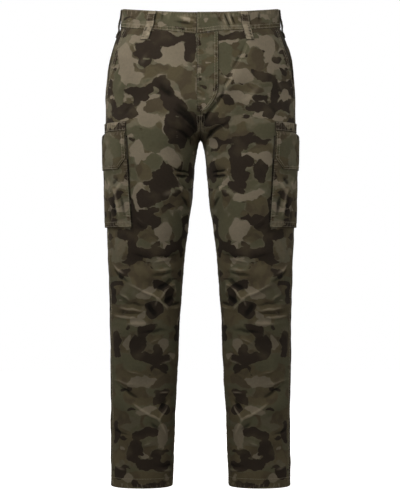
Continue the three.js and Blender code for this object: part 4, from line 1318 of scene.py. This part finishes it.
# Folds of the pouch: across is the distance from the side seam, towards the front
POUCH_FOLDS = table(
    "across z end_across end_z width height",
    (76, -376, 52, -404, 5, 1.8), (28, -374, 52, -404, 5.5, 1.6), (52, -404, 60, -462, 5.5, 1.9),
    (45, -408, 52, -458, 5, -1.6), (66, -410, 72, -456, 5, -1.5), (62, -372, 40, -392, 5, -1.4),
    (10, -380, 16, -448, 9, 1.3), (-24, -372, -12, -440, 8, -1.4), (-60, -378, -38, -410, 6, 1.6),
    (-38, -410, -46, -462, 6, 1.6), (-70, -420, -62, -466, 6, -1.4), (30, -430, 34, -470, 6, -1.2),
)
POUCH_FOLD_LIFT = 1.5
pocket_twill = printed_twill("pocket_twill", rim=0.75)
# The gusset is painted dark all over (light 0.28): painted shade beneath the pouch's edges.
shaded_gusset_twill = printed_twill("shaded_gusset_twill", light=0.28, pucker=0.4)
# Flap and pocket band are painted a little lighter than the legs (light 1.12), a painted highlight.
flap_twill = printed_twill("flap_twill", light=1.12, pucker=1.1, rim=0.75)


def pocket_turn(offset, z):
    return side_seam(z) + offset / local_radius(z)


def pouch_standoff(offset, z):
    wide = np.cos(math.pi / 2 * offset / POCKET_HALF_WIDTH)
    tall = smooth(z, POCKET_BOTTOM_Z, POCKET_BOTTOM_Z + 60)
    rim = smooth(POCKET_HALF_WIDTH - np.abs(offset), 0, 16)
    low = smooth(z, POCKET_BOTTOM_Z, POCKET_BOTTOM_Z + 18)
    bulge = POCKET_BULGE * np.sqrt(np.maximum(wide, 0)) * tall
    return POCKET_STANDOFF + bulge + POUCH_PUFF * rim * low


def make_pouch(side):
    name = f"cargo_pocket_{'left' if side > 0 else 'right'}"
    tall = POCKET_TOP_Z - POCKET_BOTTOM_Z
    z = POCKET_TOP_Z - tall * spread(62, tall, CLOTH)[:, None]
    offset = POCKET_HALF_WIDTH * (2 * spread(POCKET_COLUMNS, 170, CLOTH) - 1)[None, :] + 0 * z
    z = z + 0 * offset
    folds = 0.5 * ripple(offset / 30 + 3 * side, z / 26, 61) + 0.3 * ripple(offset / 12, z / 14, 62)
    for row in each_row(POUCH_FOLDS):
        run, fall = row["end_across"] - row["across"], row["end_z"] - row["z"]
        bump = line_bump(offset - row["across"], z - row["z"], run, fall, row["width"])
        folds += POUCH_FOLD_LIFT * row["height"] * bump
    inset = np.minimum(POCKET_HALF_WIDTH - np.abs(offset), z - POCKET_BOTTOM_Z)
    folds *= smooth(inset, 0, 14) * smooth(-z, 352, 368)
    pucker = 0.35 * ripple((z + offset) / 7, inset / 12, 63) * (1 - smooth(inset, 4, 14))
    out = pouch_standoff(offset, z) + CLOTH
    turn = pocket_turn(offset, z)
    lift = folds + np.maximum(pucker, -0.2)
    pouch = lay_cloth(name + "_cloth", side, turn, z, out, CLOTH, lift=lift)
    print_cloth(pouch, offset + 300, z + 90, 23, scale=0.9, more={"tan": -4, "green": 3})
    # relief_shading and crest carry the pouch's folds, painted as highlights on their crests and
    # shade in their hollows.
    note(pouch, "relief_shading", np.clip(folds / 2, -1, 1))
    note(pouch, "crest", np.clip(folds / 3.2, -1, 1))
    pouch.data.materials.append(pocket_twill)
    declare(pouch, name, flat_cut(side, turn, z))


def make_gusset(side):
    """One strip down the back edge, along the bottom and up the front edge."""
    name = f"cargo_gusset_{'left' if side > 0 else 'right'}"
    reach, inset = POCKET_HALF_WIDTH, GUSSET_WIDTH
    steps = np.linspace(0, 1, 40)[:, None]
    sides = np.linspace(0, 1, 60)[1:-1, None]

    def path(reach, bottom):
        down = POCKET_TOP_Z + (bottom - POCKET_TOP_Z) * steps
        back = np.concatenate([np.full_like(down, -reach), down], axis=1)
        low = np.concatenate([-reach + 2 * reach * sides, np.full_like(sides, bottom)], axis=1)
        front = np.concatenate([np.full_like(down, reach), down[::-1]], axis=1)
        return np.concatenate([back, low, front])

    edge = reach + GUSSET_PROUD
    outer, inner = path(edge, POCKET_BOTTOM_Z), path(reach - inset, POCKET_BOTTOM_Z + inset)
    share = spread(3, inset, GUSSET_CLOTH)[None, :]
    offset = outer[:, [0]] * (1 - share) + inner[:, [0]] * share
    z = outer[:, [1]] * (1 - share) + inner[:, [1]] * share
    turn = pocket_turn(offset, z)
    gusset = lay_cloth(name + "_cloth", side, turn, z, LYING_GAP + GUSSET_CLOTH, GUSSET_CLOTH)
    print_cloth(gusset, offset + 120, z, 27, scale=0.95)
    note(gusset, "relief_shading", np.zeros_like(turn))
    gusset.data.materials.append(shaded_gusset_twill)
    length = (2 * (POCKET_TOP_Z - POCKET_BOTTOM_Z) + 2 * reach) * MM
    area = (length - 2 * inset * MM) * inset * MM
    declare(gusset, name, (length, max(inset * MM, 0.01), area))


def make_flap(side):
    name = f"cargo_flap_{'left' if side > 0 else 'right'}"
    drop = (FLAP_TOP_Z - FLAP_BOTTOM_Z) * spread(30, 82, CLOTH)[:, None]
    z = FLAP_TOP_Z - drop
    reach = np.interp(z, FLAP_EDGE["z"][::-1], FLAP_EDGE["across"][::-1])
    offset = reach * (2 * spread(POCKET_COLUMNS, 165, CLOTH) - 1)[None, :]
    z = z + 0 * offset
    on_pouch = pouch_standoff(offset, z) + CLOTH + FLAP_AIR
    out = LYING_GAP + (on_pouch - LYING_GAP) * smooth(drop, 0, FLAP_ROLL) + CLOTH
    inset = np.minimum(reach - np.abs(offset), z - FLAP_BOTTOM_Z)
    puckers = 0.35 * ripple((z + offset) / 8, inset / 12, 65) * (1 - smooth(inset, 5, 14))
    swell = FLAP_PUFF * smooth(inset, 8, 22) + 0.3 * smooth(inset, 0, 6) + puckers
    swell = swell * smooth(drop, 4, 20)
    turn = pocket_turn(offset, z)
    flap = lay_cloth(name + "_cloth", side, turn, z, out, CLOTH, lift=swell)
    middle = np.exp(-(((offset - 38) / 20) ** 2) - ((z + 324) / 20) ** 2)
    more = {"green": 5 - 23 * middle, "olive": 2 - 13 * middle, "tan": -4, "dark": -6 - 15 * middle}
    print_cloth(flap, offset + 10, z - 60, 31, more=more)
    # relief_shading: the flap's swell, painted lighter and darker by its material.
    note(flap, "relief_shading", np.clip(swell - 1, -1, 1))
    flap.data.materials.append(flap_twill)
    declare(flap, name, flat_cut(side, turn, z))


def make_pocket_band(side):
    name = f"cargo_flap_band_{'left' if side > 0 else 'right'}"
    tall = POCKET_BAND_TOP_Z - POCKET_BAND_BOTTOM_Z
    z = POCKET_BAND_TOP_Z - tall * spread(8, tall, CLOTH)[:, None]
    offset = POCKET_HALF_WIDTH * (2 * spread(POCKET_COLUMNS, 170, CLOTH) - 1)[None, :] + 0 * z
    z = z + 0 * offset
    turn = pocket_turn(offset, z)
    waves = 0.3 + 0.3 * ripple(offset / 8, z / 20, 66)
    band = lay_cloth(name + "_cloth", side, turn, z, LYING_GAP + CLOTH, CLOTH, lift=waves)
    print_cloth(band, offset + 60, z, 33, scale=0.95)
    # relief_shading: the band's waves, painted lighter and darker by its material.
    note(band, "relief_shading", np.clip(waves, -1, 1))
    band.data.materials.append(flap_twill)
    declare(band, name, flat_cut(side, turn, z))


def sew_pocket(end):
    """Twin rows round the flap and along the pouch's hem, single ones elsewhere."""
    pouch, flap, band = (f"cargo_{part}_{end}_cloth" for part in ("pocket", "flap", "flap_band"))
    rows = [row_inside(pouch, edge, 2.2, below=FLAP_BOTTOM_Z, trim=2) for edge in ("start", "end")]
    rows += [row_inside(pouch, "bottom", inset, trim=3) for inset in (2.2, 12)]
    for edge in ("start", "end", "bottom"):
        rows += [row_inside(flap, edge, inset, trim=inset) for inset in (2.2, 8.2)]
    rows += [row_inside(band, edge, 2.2, trim=2) for edge in ("top", "bottom")]
    sew(f"stitching_pocket_{end}", rows, khaki_thread)


for side in (-1, 1):
    make_gusset(side)
    make_pouch(side)
    make_flap(side)
    make_pocket_band(side)
for end in ("right", "left"):
    sew_pocket(end)

# Studio: a plain pale floor just under the hems, a small soft key light above and ahead, a dim one
# straight ahead, two low ones that lift the legs, one behind and one at each side. Metres and watts.
FLOOR_Z = -1.10
FLOOR_HALF = 4.0
floor_mesh = bpy.data.meshes.new("floor")
corners = [(x * FLOOR_HALF, y * FLOOR_HALF) for x, y in ((-1, -1), (1, -1), (1, 1), (-1, 1))]
floor_mesh.from_pydata([(x, y, FLOOR_Z) for x, y in corners], [], [(0, 1, 2, 3)])
floor = bpy.data.objects.new("floor", floor_mesh)
bpy.context.scene.collection.objects.link(floor)
floor.visible_diffuse = False
floor.visible_glossy = False
pale = bpy.data.materials.new("pale_floor")
pale.use_nodes = True
pale.node_tree.nodes.clear()
paint = Shade(pale.node_tree)
pale_finish = paint.add("ShaderNodeBsdfPrincipled", {}, {
    "Base Color": (0.9, 0.9, 0.9, 1.0),
    "Roughness": 0.9,
    "Emission Color": (1.0, 1.0, 1.0, 1.0),
    "Emission Strength": 1.0,
})
paint.add("ShaderNodeOutputMaterial", {}, {"Surface": pale_finish})
floor_mesh.materials.append(pale)

WIDE = 180
FILL = {"aim": (0, 0, -1.1), "size": 1.0, "watts": 11.6, "spread": WIDE}
SIDE = {"aim": (0, 0, -0.5), "size": 1.2, "watts": 10, "spread": WIDE}
LIGHTS = {
    "key": {
        "at": (-0.5, -1.1, 0.85), "aim": (0, 0, -0.06), "size": 0.5, "watts": 1.66, "spread": 64,
    },
    "front": {
        "at": (-0.7, -2.4, 0.3), "aim": (0, 0, -0.55), "size": 0.6, "watts": 3.0, "spread": WIDE,
    },
    "fill_right": {"at": (-1.7, -1.5, -1.0), **FILL},
    "fill_left": {"at": (1.7, -1.5, -1.0), **FILL},
    "back": {"at": (0.5, 2.1, 0.4), "aim": (0, 0, -0.6), "size": 1.2, "watts": 22, "spread": WIDE},
    "side_right": {"at": (-2.2, 0.6, 0.4), **SIDE},
    "side_left": {"at": (2.2, 0.6, 0.4), **SIDE},
}
for name, light in LIGHTS.items():
    lamp = bpy.data.lights.new(name, "AREA")
    lamp.size = light["size"]
    lamp.energy = light["watts"]
    lamp.spread = math.radians(light["spread"])
    lamp.color = (1.0, 0.97, 0.9)
    placed = bpy.data.objects.new(name, lamp)
    placed.location = light["at"]
    aim = Vector(light["aim"]) - Vector(light["at"])
    placed.rotation_euler = aim.to_track_quat("-Z", "Y").to_euler()
    placed.visible_camera = False
    bpy.context.scene.collection.objects.link(placed)

world = bpy.data.worlds.new("studio")
bpy.context.scene.world = world
world.use_nodes = True
world.node_tree.nodes["Background"].inputs["Color"].default_value = (1, 1, 1, 1)
world.node_tree.nodes["Background"].inputs["Strength"].default_value = 1.0
world.cycles_visibility.diffuse = False
world.cycles_visibility.glossy = False
bpy.context.scene.view_settings.view_transform = "Standard"
